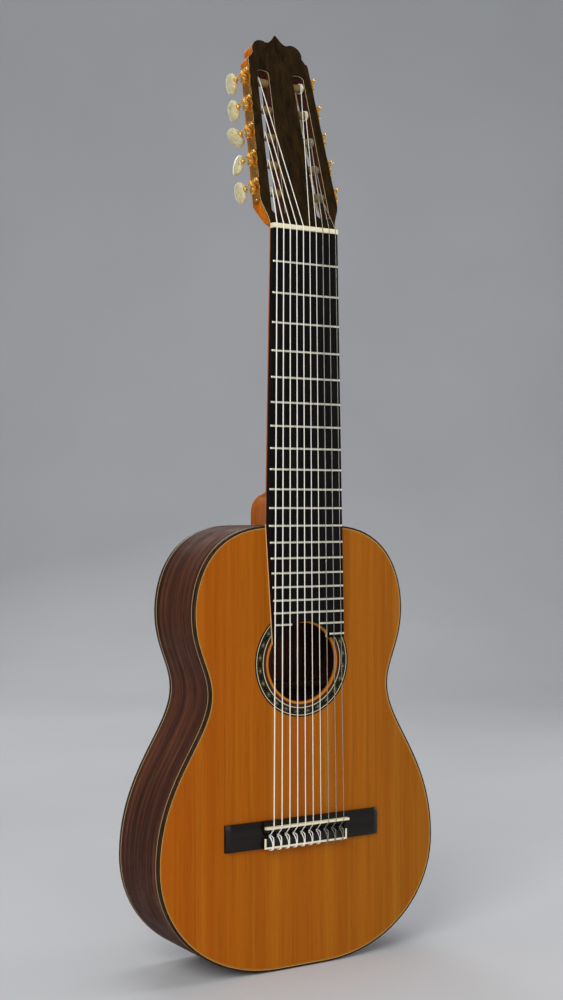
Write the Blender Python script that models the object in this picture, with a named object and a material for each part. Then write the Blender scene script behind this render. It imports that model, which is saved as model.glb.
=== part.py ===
"""Ten-string classical guitar, upright: +Z towards the head, +X the treble side, -Y the front.

Metres. The origin is on the flat tail face, under the middle of the body's depth.
"""
import math

import bmesh
import bpy
from mathutils import Matrix, Vector

# Fit between pieces that touch
GAP = 0.0003

# Body
BODY_LENGTH = 0.486
TAIL_DEPTH = 0.101
NECK_DEPTH = 0.095
BACK_ARCH = 0.004
LOWER_BOUT_WIDTH = 0.356
LOWER_BOUT_Z = 0.1265
WAIST_WIDTH = 0.231
WAIST_Z = 0.305
UPPER_BOUT_WIDTH = 0.271
UPPER_BOUT_Z = 0.392
TAIL_FLAT = 0.060
SHOULDER_FLAT = 0.080
TAIL_FULLNESS = 0.0855
LOWER_FULLNESS_TAIL = 0.071
LOWER_FULLNESS_WAIST = 0.091
WAIST_FULLNESS_LOWER = 0.046
WAIST_FULLNESS_UPPER = 0.0272
UPPER_FULLNESS_WAIST = 0.0406
UPPER_FULLNESS_NECK = 0.0305
SHOULDER_FULLNESS = 0.0817
STEPS_TAIL = 8
STEPS_LOWER = 9
STEPS_WAIST = 7
STEPS_UPPER = 8

TOP_THICK = 0.0025
BACK_THICK = 0.0025
RIB_THICK = 0.0022
BINDING_WIDTH = 0.0022
BINDING_HEIGHT = 0.0050
LINING_WIDTH = 0.0060
LINING_HEIGHT = 0.0150
TAIL_BLOCK_WIDTH = 0.056
TAIL_BLOCK_THICK = 0.014
GRAFT_WIDTH = 0.020

# Soundhole and rosette
HOLE_RADIUS = 0.0435
HOLE_BELOW_LAST_FRET = 0.0426
ROSETTE_MARGIN = 0.0040
ROSETTE_WIDTH = 0.0130
ROSETTE_THICK = 0.0012
HOLE_SEGMENTS = 32

# Braces
BAR_WIDTH = 0.006
BAR_HEIGHT = 0.014
BAR_OFFSET = 0.063
FAN_COUNT = 9
FAN_WIDTH = 0.005
FAN_HEIGHT = 0.007
FAN_TOP_PITCH = 0.014
FAN_LOW_PITCH = 0.030
FAN_LOW_Z = 0.060
HOLE_STRIP_INSET = 0.004
HOLE_STRIP_WIDTH = 0.012
HOLE_STRIP_THICK = 0.003
BACK_BAR_SHARES = (0.195, 0.401, 0.617, 0.823)
BACK_BAR_WIDTH = 0.008
BACK_BAR_HEIGHT = 0.013
SEAM_STRIP_WIDTH = 0.016
SEAM_STRIP_THICK = 0.0025
BACK_SPREAD = (-1, -0.5, 0, 0.5, 1)

# Scale, neck and fingerboard
SCALE_LENGTH = 0.650
BODY_JOINT_FRET = 12
SADDLE_COMPENSATION = 0.002
NUT_WIDTH = 0.084
JOINT_WIDTH = 0.096
BASS_KINK = 0.007
NUT_THICK = 0.0055
WEDGE_THICK = 0.0020
BOARD_THICK = 0.0060
BOARD_END_MARGIN = 0.0017
BOARD_END_STEPS = 7
TONGUE_INNER_X = 0.0305
TONGUE_LENGTH = 0.0043
FRET_COUNT = 19
FRET_WIDTH = 0.0022
FRET_HEIGHT = 0.0010
FRET_INSET = 0.0006
FRET_PROFILE = ((-1, -0.4), (-0.8, 0.65), (0, 1), (0.8, 0.65), (1, -0.4))
NECK_THICK_NUT = 0.0160
NECK_THICK_JOINT = 0.0180
NECK_BACK_FLAT = 0.0030
HEEL_LENGTH = 0.039
HEEL_TIP_WIDTH = 0.032
HEEL_LEVELS = (0, 0.3, 0.55, 0.72, 0.84, 0.92, 0.97, 1.0)
HEEL_CURVE = 4.5
HEEL_ROUNDING = 2.2
HEEL_LEAST_SHARE = 0.10
HEEL_SLIM_RATE = 1.25
HEEL_TOP_RISE = 0.012
HEEL_TOP_SHARE = 0.03
SHAFT_RISES = (0.028, 0.15)
SECTION_LEVELS = (0, 0.25, 0.5, 0.72, 0.88, 0.97, 1.0)
HEEL_SIDE_POWER = 1.7
NECK_WEB_WIDTH = 0.016
NECK_BLOCK_WIDTH = 0.064
NECK_BLOCK_THICK = 0.014
NECK_FOOT_CLEARANCE = 0.0232
NECK_FOOT_THICK = 0.012

# Head
HEAD_TILT = math.radians(15)
HEAD_THICK = 0.0200
VENEER_THICK = 0.0020
HEAD_WIDE = 0.0995
HEAD_WIDE_S = 0.030
HEAD_TAPER = 0.0625
HEAD_SHOULDER = ((0.13, 0.22), (0.51, 0.50), (0.93, 0.81))
SIDE_STEP_X = 0.0032
SIDE_STEP_S = 0.0030
LOBE_INSET = 0.0186
LOBE_RISE = 0.0119
LOBE_RADIUS = 0.0122
LOBE_FIRST_ANGLE = math.radians(-15)
LOBE_TURN = math.radians(33.75)
LOBE_POINTS = 5
CREST = ((0.0118, 0.0226), (0.0085, 0.0242), (0.0045, 0.0285), (0, 0.0338))
THROAT_LENGTH = 0.026
THROAT_STEPS = 3
THROAT_MARGIN = 0.0005
THROAT_FLARE = 1.5
THROAT_POWER = 2
THROAT_END_POWER = 14
SLOT_START = 0.0115
SLOT_PAST_TUNER = 0.011
SIDE_PAST_SLOT = 0.0130
SLOT_ROUNDING = 0.55
SLOT_INNER_START = 0.0200
SLOT_INNER_END = 0.0150
SLOT_OUTER_START = 0.0384
SLOT_OUTER_END = 0.0313
SLOT_END_STEPS = 4

# Tuners
TUNERS_PER_SIDE = 5
FIRST_TUNER_S = 0.0425
TUNER_PITCH = 0.034
ROLLER_DEPTH = 0.0090
ROLLER_RADIUS = 0.0048
ROLLER_END_X = 0.0038
ROLLER_CLEARANCE = 0.0006
ROLLER_SEGMENTS = 10
JOURNAL_RADIUS = 0.0022
PLATE_THICK = 0.0012
PLATE_HALF_WIDTH = 0.0075
PLATE_SCALLOP = 0.0011
PLATE_END = 0.0165
PLATE_END_TAPER = 0.55
PLATE_STEPS_PER_TUNER = 6
GEAR_TEETH = 14
GEAR_WIDTH = 0.0026
GEAR_STANDOFF = 0.0019
WORM_LEAD = 0.00233
GEAR_ADDENDUM = 0.00055
GEAR_DEDENDUM = 0.00085
WORM_PITCH_RADIUS = 0.0023
WORM_ADDENDUM = 0.0006
WORM_CORE_RADIUS = 0.0014
TOOTH_THICK = 0.00078
THREAD_THICK = 0.00088
FLANK_SLOPE = 0.36
WORM_TURNS = 2
WORM_RINGS_PER_TURN = 4
WORM_SEGMENTS = 8
CHEEK_START = 0.0034
CHEEK_THICK = 0.0018
CHEEK_WIDTH = 0.0050
CHEEK_RISE = 0.0024
CHEEK_SHAPE = ((1, 0.55), (0.45, 1), (-0.45, 1), (-1, 0.55))
BEARING_CLEARANCE = 0.0004
TIP_RADIUS = 0.0019
TIP_REACH = 0.0112
TIP_LENGTH = 0.0040
TIP_END_SHARE = 0.55
TIP_BULGE = 0.4
GEAR_SCREW_RADIUS = 0.0024
GEAR_SCREW_HEIGHT = 0.0011
GEAR_SCREW_TAPER = 0.85
ROUND_SEGMENTS = 8
BUTTON_START = 0.0145
BUTTON_LENGTH = 0.0215
BUTTON_HEIGHT = 0.0245
BUTTON_THICK = 0.0095
BUTTON_TURNS = (-12, 10, -40, -10, -8)
BUTTON_BORE_DEPTH = 0.0060
COLLAR_RADIUS = 0.0029
COLLAR_LENGTH = 0.0026
BUTTON_SHAPE = ((0.12, 0.60, 0.84), (0.36, 0.95, 1.0), (0.66, 0.95, 0.94), (0.90, 0.60, 0.58), (1.0, 0.20, 0.18))

# Bridge
BRIDGE_WIDTH = 0.198
BRIDGE_LENGTH = 0.0295
BRIDGE_ABOVE_SADDLE = 0.0065
WING_HEIGHT = 0.0042
WING_TIP_HEIGHT = 0.0026
WING_BEVEL = 0.007
TIE_WIDTH = 0.107
TIE_HEIGHT = 0.0085
TIE_LENGTH = 0.0115
SADDLE_RIDGE_HEIGHT = 0.0080
SADDLE_RIDGE_LENGTH = 0.0125
RIDGE_CHAMFER = 0.0015
RIDGE_SLOPE = 0.0020
TROUGH_DROP = 0.0012
WING_EDGE_DROP = 0.0010
WING_EDGE_RUN = 0.0020
SADDLE_THICK = 0.0026
SADDLE_SLOT_DEPTH = 0.0040
TIE_HOLE_HEIGHT = 0.0046
TIE_HOLE_RADIUS = 0.0013
TIE_HOLE_SEGMENTS = 6
INLAY_WIDTH = 0.0022
INLAY_THICK = 0.0010

# Strings, from the first (treble) to the tenth (bass)
STRING_DIAMETERS = (0.00072, 0.00082, 0.00102, 0.00076, 0.00088, 0.00108, 0.00112, 0.00118, 0.00126, 0.00136)
NUT_EDGE = 0.00375
SADDLE_EDGE = 0.00805
NUT_RISE = 0.0013
SADDLE_TOP = 0.0138
WINDING_TURNS = 1.5
WINDING_STEPS = 12
WINDING_SPACE = 0.0006
WINDING_U_FIRST = -0.0172
WINDING_U_LAST = -0.0127
LOOP_SHARE = 0.3
LOOP_REAR = 0.0022
LOOP_DROP = 0.0006
LOOP_CORNER = 0.0012

# Overlap of solids that join or cut each other
OVERLAP = 0.002

FRONT_Y = -TAIL_DEPTH / 2
NECK_FACE_Y = FRONT_Y - WEDGE_THICK
BOARD_TOP_Y = NECK_FACE_Y - GAP - BOARD_THICK
NUT_Z = BODY_LENGTH + SCALE_LENGTH * (1 - 2 ** (-BODY_JOINT_FRET / 12))
LAST_FRET_Z = NUT_Z - SCALE_LENGTH * (1 - 2 ** (-FRET_COUNT / 12))
HOLE_Z = LAST_FRET_Z - HOLE_BELOW_LAST_FRET
ROSETTE_INNER = HOLE_RADIUS + ROSETTE_MARGIN
ROSETTE_OUTER = ROSETTE_INNER + ROSETTE_WIDTH
BOARD_END_RADIUS = HOLE_RADIUS + BOARD_END_MARGIN
NECK_FOOT_Z = HOLE_Z + BAR_OFFSET + BAR_WIDTH / 2 + NECK_FOOT_CLEARANCE
LAST_TUNER_S = FIRST_TUNER_S + TUNER_PITCH * (TUNERS_PER_SIDE - 1)
SLOT_END = LAST_TUNER_S + SLOT_PAST_TUNER
HEAD_SIDE_END = SLOT_END + SIDE_PAST_SLOT
SADDLE_Z = NUT_Z - SCALE_LENGTH - SADDLE_COMPENSATION
NUT_TOP_Y = BOARD_TOP_Y - NUT_RISE + GAP
EDGE_INSET = BINDING_WIDTH + GAP
HEAD_ORIGIN = Vector((0, NECK_FACE_Y - VENEER_THICK, NUT_Z + NUT_THICK))
HEAD_S = Vector((0, math.sin(HEAD_TILT), math.cos(HEAD_TILT)))
HEAD_B = Vector((0, math.cos(HEAD_TILT), -math.sin(HEAD_TILT)))
ROLLER_REACH = HEAD_WIDE / 2 - HEAD_TAPER * (LAST_TUNER_S - HEAD_WIDE_S) - ROLLER_END_X
GEAR_PITCH_RADIUS = GEAR_TEETH * WORM_LEAD / (2 * math.pi)
CENTRE_DISTANCE = GEAR_PITCH_RADIUS + WORM_PITCH_RADIUS
PLATE_OUTER = GAP + PLATE_THICK
GEAR_START = PLATE_OUTER + GEAR_STANDOFF
GEAR_MIDDLE = GEAR_START + GEAR_WIDTH / 2
RIM_THICK = max(RIB_THICK, BINDING_WIDTH)
BRACE_MARGIN = RIM_THICK + LINING_WIDTH + 3 * GAP
STRING_COUNT = len(STRING_DIAMETERS)
NUT_SPACING = (NUT_WIDTH - 2 * NUT_EDGE) / (STRING_COUNT - 1)
SADDLE_SPACING = (TIE_WIDTH - 2 * SADDLE_EDGE) / (STRING_COUNT - 1)
BRIDGE_TOP_Z = SADDLE_Z + BRIDGE_ABOVE_SADDLE
BRIDGE_LOW_Z = BRIDGE_TOP_Z - BRIDGE_LENGTH
TIE_TOP_Z = BRIDGE_LOW_Z + TIE_LENGTH
SIDES = {"bass": -1, "treble": 1}


def clear_scene():
    for ob in list(bpy.data.objects):
        bpy.data.objects.remove(ob, do_unlink=True)


def new_collection(name):
    collection = bpy.data.collections.new(name)
    bpy.context.scene.collection.children.link(collection)
    return collection


clear_scene()
PARTS = new_collection("ten_string_guitar")
CUTTERS = new_collection("cutters")
MATERIALS = {
    "cedar": ((0.42, 0.17, 0.035), 0.30, 0.0),
    "rosewood": ((0.060, 0.022, 0.014), 0.30, 0.0),
    "cedar_neck": ((0.36, 0.12, 0.030), 0.35, 0.0),
    "spruce": ((0.62, 0.45, 0.26), 0.60, 0.0),
    "ebony": ((0.012, 0.010, 0.009), 0.35, 0.0),
    "bone": ((0.80, 0.76, 0.66), 0.30, 0.0),
    "mosaic": ((0.050, 0.060, 0.040), 0.30, 0.0),
    "gold": ((0.83, 0.58, 0.22), 0.25, 1.0),
    "pearl": ((0.80, 0.80, 0.64), 0.25, 0.0),
    "roller": ((0.75, 0.70, 0.58), 0.40, 0.0),
    "silver_wound": ((0.62, 0.61, 0.57), 0.35, 1.0),
    "clear_nylon": ((0.70, 0.69, 0.62), 0.25, 0.0),
}


def material(key):
    found = bpy.data.materials.get(key)
    if found:
        return found
    colour, roughness, metallic = MATERIALS[key]
    found = bpy.data.materials.new(key)
    found.use_nodes = True
    shader = found.node_tree.nodes["Principled BSDF"]
    shader.inputs["Base Color"].default_value = (*colour, 1)
    shader.inputs["Roughness"].default_value = roughness
    shader.inputs["Metallic"].default_value = metallic
    return found


def add_mesh_object(name, bm, key, collection=None, smooth=0.0):
    """Turn a bmesh into a named object with its material."""
    bmesh.ops.remove_doubles(bm, verts=bm.verts, dist=1e-7)
    bmesh.ops.recalc_face_normals(bm, faces=bm.faces)
    mesh = bpy.data.meshes.new(name)
    bm.to_mesh(mesh)
    bm.free()
    if key:
        mesh.materials.append(material(key))
    if smooth:
        mesh.shade_smooth()
        mesh.set_sharp_from_angle(angle=math.radians(smooth))
    ob = bpy.data.objects.new(name, mesh)
    (collection or PARTS).objects.link(ob)
    return ob


def loft_into(bm, rings, closed=False):
    """Skin rings of equal count; open lofts get end caps."""
    loops = [[bm.verts.new(p) for p in ring] for ring in rings]
    count = len(loops[0])
    pairs = list(zip(loops, loops[1:]))
    if closed:
        pairs.append((loops[-1], loops[0]))
    for low, high in pairs:
        for i in range(count):
            j = (i + 1) % count
            bm.faces.new((low[i], low[j], high[j], high[i]))
    if not closed:
        bm.faces.new(loops[0])
        bm.faces.new(loops[-1])


def loft(name, ring_sets, key, closed=False, collection=None, smooth=0.0):
    bm = bmesh.new()
    for rings in ring_sets:
        loft_into(bm, rings, closed)
    return add_mesh_object(name, bm, key, collection, smooth)


def prism_into(bm, points, shift):
    """A flat outline, given as 3D points, pushed along a vector."""
    loft_into(bm, [points, [p + shift for p in points]])


def box_into(bm, low, high, frame=None):
    size = Vector(high) - Vector(low)
    middle = (Vector(high) + Vector(low)) / 2
    matrix = Matrix.Translation(middle) @ Matrix.Diagonal((*size, 1))
    bmesh.ops.create_cube(bm, size=1, matrix=(frame or Matrix()) @ matrix)


def cylinder_into(bm, start, end, radius, segments=ROUND_SEGMENTS):
    axis = Vector(end) - Vector(start)
    turn = axis.to_track_quat("Z", "Y").to_matrix().to_4x4()
    matrix = Matrix.Translation((Vector(start) + Vector(end)) / 2) @ turn
    bmesh.ops.create_cone(
        bm, cap_ends=True, segments=segments, radius1=radius, radius2=radius, depth=axis.length, matrix=matrix
    )


def helper(name, bm):
    """A hidden solid that cuts or joins another."""
    ob = add_mesh_object(name, bm, None, CUTTERS)
    ob.hide_render = True
    ob.display_type = "WIRE"
    return ob


def combine(ob, other, operation):
    """Apply a Boolean straight away, so later cuts stay simple."""
    modifier = ob.modifiers.new(operation.lower(), "BOOLEAN")
    modifier.operation = operation
    modifier.object = other
    modifier.solver = "EXACT"
    graph = bpy.context.evaluated_depsgraph_get()
    result = bpy.data.meshes.new_from_object(ob.evaluated_get(graph))
    ob.modifiers.clear()
    old = ob.data
    ob.data = result
    result.name = old.name
    bpy.data.meshes.remove(old)


def bezier(p0, p1, p2, p3, steps):
    """Points of a cubic curve, without its last one."""
    points = []
    for i in range(steps):
        t = i / steps
        s = 1 - t
        points.append(p0 * s**3 + p1 * 3 * s * s * t + p2 * 3 * s * t * t + p3 * t**3)
    return points


def half_outline():
    """The treble half of the body's plan, tail to neck, as (x, z)."""
    tail = Vector((TAIL_FLAT / 2, 0))
    lower = Vector((LOWER_BOUT_WIDTH / 2, LOWER_BOUT_Z))
    waist = Vector((WAIST_WIDTH / 2, WAIST_Z))
    upper = Vector((UPPER_BOUT_WIDTH / 2, UPPER_BOUT_Z))
    shoulder = Vector((SHOULDER_FLAT / 2, BODY_LENGTH))
    out = Vector((1, 0))
    up = Vector((0, 1))
    points = bezier(tail, tail + out * TAIL_FULLNESS, lower - up * LOWER_FULLNESS_TAIL, lower, STEPS_TAIL)
    points += bezier(lower, lower + up * LOWER_FULLNESS_WAIST, waist - up * WAIST_FULLNESS_LOWER, waist, STEPS_LOWER)
    points += bezier(waist, waist + up * WAIST_FULLNESS_UPPER, upper - up * UPPER_FULLNESS_WAIST, upper, STEPS_WAIST)
    points += bezier(upper, upper + up * UPPER_FULLNESS_NECK, shoulder + out * SHOULDER_FULLNESS, shoulder, STEPS_UPPER)
    points.append(shoulder)
    return points


OUTLINE = half_outline()


def inset(distance):
    """The half outline moved inwards, each edge kept parallel."""
    points = [Vector((0, 0))] + OUTLINE + [Vector((0, BODY_LENGTH))]
    moved = []
    for before, here, after in zip(points, points[1:], points[2:]):
        first = (here - before).normalized()
        second = (after - here).normalized()
        normal_1 = Vector((-first.y, first.x))
        normal_2 = Vector((-second.y, second.x))
        middle = (normal_1 + normal_2).normalized()
        moved.append(here + middle * (distance / middle.dot(normal_1)))
    return moved


def mirrored(half):
    """A closed plan outline from its treble half."""
    return half + [Vector((-p.x, p.y)) for p in reversed(half)]


def half_width(z, distance=0.0):
    """The plan's half width at a height, inside a given margin."""
    points = inset(distance)
    for low, high in zip(points, points[1:]):
        if low.y <= z <= high.y:
            t = (z - low.y) / (high.y - low.y)
            return low.x + (high.x - low.x) * t
    return points[-1].x


def back_y(x, z):
    """The outer face of the back: it tapers to the neck and is arched across."""
    depth = TAIL_DEPTH + (NECK_DEPTH - TAIL_DEPTH) * z / BODY_LENGTH
    return FRONT_Y + depth - BACK_ARCH * (x / (LOWER_BOUT_WIDTH / 2)) ** 2


def fret_z(number):
    return NUT_Z - SCALE_LENGTH * (1 - 2 ** (-number / 12))


def frame_ring(corners):
    """Sections of a strip that runs right round the body; a corner is (inset, depth rule)."""
    rows = [(mirrored(inset(distance)), depth) for distance, depth in corners]
    sections = []
    for i in range(len(rows[0][0])):
        sections.append([Vector((row[i].x, depth(row[i].x, row[i].y), row[i].y)) for row, depth in rows])
    return sections


def side_run(corners, side, tail_x, neck_x):
    """Sections of a strip along one side, from near the tail's middle to near the neck's."""
    rows = []
    for distance, depth in corners:
        row = [Vector((tail_x, distance))] + inset(distance) + [Vector((neck_x, BODY_LENGTH - distance))]
        rows.append((row, depth))
    sections = []
    for i in range(len(rows[0][0])):
        sections.append([Vector((side * row[i].x, depth(row[i].x, row[i].y), row[i].y)) for row, depth in rows])
    return sections


def make_soundboard():
    outline = mirrored(inset(EDGE_INSET))
    bm = bmesh.new()
    prism_into(bm, [Vector((p.x, FRONT_Y, p.y)) for p in outline], Vector((0, TOP_THICK, 0)))
    board = add_mesh_object("soundboard", bm, "cedar")
    centre = Vector((0, FRONT_Y, HOLE_Z))
    cut = bmesh.new()
    reach = Vector((0, TOP_THICK + OVERLAP, 0))
    cylinder_into(cut, centre - reach, centre + reach, HOLE_RADIUS, HOLE_SEGMENTS)
    combine(board, helper("soundhole_cut", cut), "DIFFERENCE")
    recess = bmesh.new()
    recess_rings = annulus_sections(ROSETTE_INNER - GAP, ROSETTE_OUTER + GAP, -OVERLAP, ROSETTE_THICK + GAP)
    loft_into(recess, recess_rings, closed=True)
    combine(board, helper("rosette_cut", recess), "DIFFERENCE")


def annulus_sections(inner, outer, front_depth, back_depth):
    sections = []
    for i in range(HOLE_SEGMENTS):
        angle = 2 * math.pi * i / HOLE_SEGMENTS
        out = Vector((math.cos(angle), 0, math.sin(angle)))
        centre = Vector((0, FRONT_Y, HOLE_Z))
        front = centre + Vector((0, front_depth, 0))
        back = centre + Vector((0, back_depth, 0))
        sections.append([front + out * outer, back + out * outer, back + out * inner, front + out * inner])
    return sections


def make_rosette():
    loft("rosette", [annulus_sections(ROSETTE_INNER, ROSETTE_OUTER, 0, ROSETTE_THICK)], "mosaic", closed=True)


def make_back():
    """The arched back: a loft of cross sections from tail to neck."""
    sections = []
    for p in inset(EDGE_INSET):
        outer = [Vector((p.x * f, back_y(p.x * f, p.y), p.y)) for f in BACK_SPREAD]
        inner = [v - Vector((0, BACK_THICK, 0)) for v in reversed(outer)]
        sections.append(outer + inner)
    loft("back_plate", [sections], "rosewood", smooth=30)


def make_ribs():
    """Each side with its linings: a bent C section from the end graft to the neck's web."""
    edge = RIM_THICK + GAP

    def wall_front(x, z):
        return FRONT_Y + BINDING_HEIGHT + GAP

    def lining_front(x, z):
        return FRONT_Y + TOP_THICK + GAP

    def lining_front_end(x, z):
        return lining_front(x, z) + LINING_HEIGHT

    def wall_back(x, z):
        return back_y(x, z) - BINDING_HEIGHT - GAP

    def lining_back(x, z):
        return back_y(x, z) - BACK_THICK - GAP

    def lining_back_end(x, z):
        return lining_back(x, z) - LINING_HEIGHT

    corners = (
        (0, wall_front),
        (0, wall_back),
        (edge, wall_back),
        (edge, lining_back),
        (edge + LINING_WIDTH, lining_back),
        (RIB_THICK, lining_back_end),
        (RIB_THICK, lining_front_end),
        (edge + LINING_WIDTH, lining_front),
        (edge, lining_front),
        (edge, wall_front),
    )
    clearance = bmesh.new()
    for low, high in (tail_block_box(), neck_block_box()):
        grow = Vector((GAP, LINING_HEIGHT, OVERLAP / 2))
        box_into(clearance, Vector(low) - grow, Vector(high) + grow)
    cutter = helper("block_clearance", clearance)
    for name, side in SIDES.items():
        run = side_run(corners, side, GRAFT_WIDTH / 2 + GAP, NECK_WEB_WIDTH / 2 + GAP)
        rib = loft("rib_" + name, [run], "rosewood", smooth=30)
        combine(rib, cutter, "DIFFERENCE")


def make_edges():
    """The front and back bindings."""

    def front(x, z):
        return FRONT_Y

    def under_front(x, z):
        return FRONT_Y + BINDING_HEIGHT

    def over_back(x, z):
        return back_y(x, z) - BINDING_HEIGHT

    front_corners = ((0, front), (0, under_front), (BINDING_WIDTH, under_front), (BINDING_WIDTH, front))
    back_corners = ((0, over_back), (0, back_y), (BINDING_WIDTH, back_y), (BINDING_WIDTH, over_back))
    loft("front_binding", [frame_ring(front_corners)], "rosewood", True, smooth=30)
    loft("back_binding", [frame_ring(back_corners)], "rosewood", True, smooth=30)


def make_soundboard_bracing():
    """Two harmonic bars, joined by the strips beside the hole, and the fan below them."""
    face = FRONT_Y + TOP_THICK + GAP
    bm = bmesh.new()
    for z in (HOLE_Z - BAR_OFFSET, HOLE_Z + BAR_OFFSET):
        reach = min(half_width(z - BAR_WIDTH / 2, BRACE_MARGIN), half_width(z + BAR_WIDTH / 2, BRACE_MARGIN))
        low = (-reach, face, z - BAR_WIDTH / 2)
        box_into(bm, low, (reach, face + BAR_HEIGHT, z + BAR_WIDTH / 2))
    bracing = add_mesh_object("soundboard_bracing", bm, "spruce")
    for i in range(FAN_COUNT):
        bm = bmesh.new()
        place = i - (FAN_COUNT - 1) / 2
        high = Vector((place * FAN_TOP_PITCH, face, HOLE_Z - BAR_OFFSET))
        low = Vector((place * FAN_LOW_PITCH, face, FAN_LOW_Z))
        axis = high - low
        frame = Matrix.Translation(low) @ Matrix.Rotation(math.atan2(axis.x, axis.z), 4, "Y")
        box_into(bm, (-FAN_WIDTH / 2, 0, 0), (FAN_WIDTH / 2, FAN_HEIGHT, axis.length), frame)
        combine(bracing, helper("fan_strut", bm), "UNION")
    bm = bmesh.new()
    for side in SIDES.values():
        middle = side * (HOLE_RADIUS + HOLE_STRIP_INSET + HOLE_STRIP_WIDTH / 2)
        low = (middle - HOLE_STRIP_WIDTH / 2, face, HOLE_Z - BAR_OFFSET)
        box_into(bm, low, (middle + HOLE_STRIP_WIDTH / 2, face + HOLE_STRIP_THICK, HOLE_Z + BAR_OFFSET))
    combine(bracing, helper("hole_strips", bm), "UNION")


def make_back_bracing():
    """Four bars across the back, joined by the strip along its centre seam."""
    bars = []
    for share in BACK_BAR_SHARES:
        z = BODY_LENGTH * share
        sections = []
        for end_z in (z - BACK_BAR_WIDTH / 2, z + BACK_BAR_WIDTH / 2):
            reach = half_width(end_z, BRACE_MARGIN)
            seat = [Vector((reach * f, back_y(reach * f, end_z) - BACK_THICK - 2 * GAP, end_z)) for f in BACK_SPREAD]
            crest = [v - Vector((0, BACK_BAR_HEIGHT, 0)) for v in reversed(seat)]
            sections.append(seat + crest)
        bars.append(sections)
    bracing = loft("back_bracing", bars, "spruce")
    strip = []
    low_z = tail_block_box()[1][2] + GAP
    high_z = neck_block_box()[0][2] - GAP
    for z in (low_z, high_z):
        seat_y = back_y(0, z) - BACK_THICK - 3 * GAP
        half = SEAM_STRIP_WIDTH / 2
        lift = SEAM_STRIP_THICK
        strip.append([Vector((x, seat_y - rise, z)) for x, rise in ((-half, 0), (half, 0), (half, lift), (-half, lift))])
    bm = bmesh.new()
    loft_into(bm, strip)
    combine(bracing, helper("seam_strip", bm), "UNION")


def tail_block_box():
    half = TAIL_BLOCK_WIDTH / 2
    low_z = RIM_THICK + GAP
    high_y = back_y(half, 0) - BACK_THICK - 2 * GAP
    return (-half, FRONT_Y + TOP_THICK + GAP, low_z), (half, high_y, low_z + TAIL_BLOCK_THICK)


def neck_block_box():
    half = NECK_BLOCK_WIDTH / 2
    high_z = BODY_LENGTH - RIM_THICK - GAP
    high_y = back_y(half, BODY_LENGTH) - BACK_THICK - 2 * GAP
    return (-half, FRONT_Y + TOP_THICK + GAP, high_z - NECK_BLOCK_THICK), (half, high_y, high_z)


def make_tail():
    """The tail block inside, with the graft that closes the sides over it."""
    low, high = tail_block_box()
    bm = bmesh.new()
    box_into(bm, low, high)
    block = add_mesh_object("tail_block", bm, "cedar_neck")
    bm = bmesh.new()
    half = GRAFT_WIDTH / 2
    graft_low = FRONT_Y + BINDING_HEIGHT + GAP
    graft_high = back_y(half, 0) - BINDING_HEIGHT - GAP
    box_into(bm, (-half, graft_low, 0), (half, graft_high, low[2] + OVERLAP / 2))
    combine(block, helper("end_graft", bm), "UNION")


def neck_width(z):
    """The neck and the fingerboard widen evenly from the nut to the body joint."""
    return NUT_WIDTH + (JOINT_WIDTH - NUT_WIDTH) * (NUT_Z - z) / (NUT_Z - BODY_LENGTH)


def neck_section(z, width, depth, heel, tilt=0.0):
    """A D-shaped section that narrows to the heel's tip as heel goes from 0 to 1."""
    ring = []
    for side in (1, -1):
        row = []
        for u in SECTION_LEVELS:
            round_x = max(width / 2 * math.sqrt(max(0.0, 1 - u * u)), NECK_BACK_FLAT / 2)
            slim_x = HEEL_TIP_WIDTH / 2 + (width / 2 - HEEL_TIP_WIDTH / 2) * (1 - u) ** HEEL_SIDE_POWER
            x = side * (round_x + (slim_x - round_x) * heel)
            y = NECK_FACE_Y + depth * u
            row.append(Vector((x, y, z - tilt * (y - HEAD_ORIGIN.y))))
        ring += row if side == 1 else list(reversed(row))
    return ring


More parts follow.
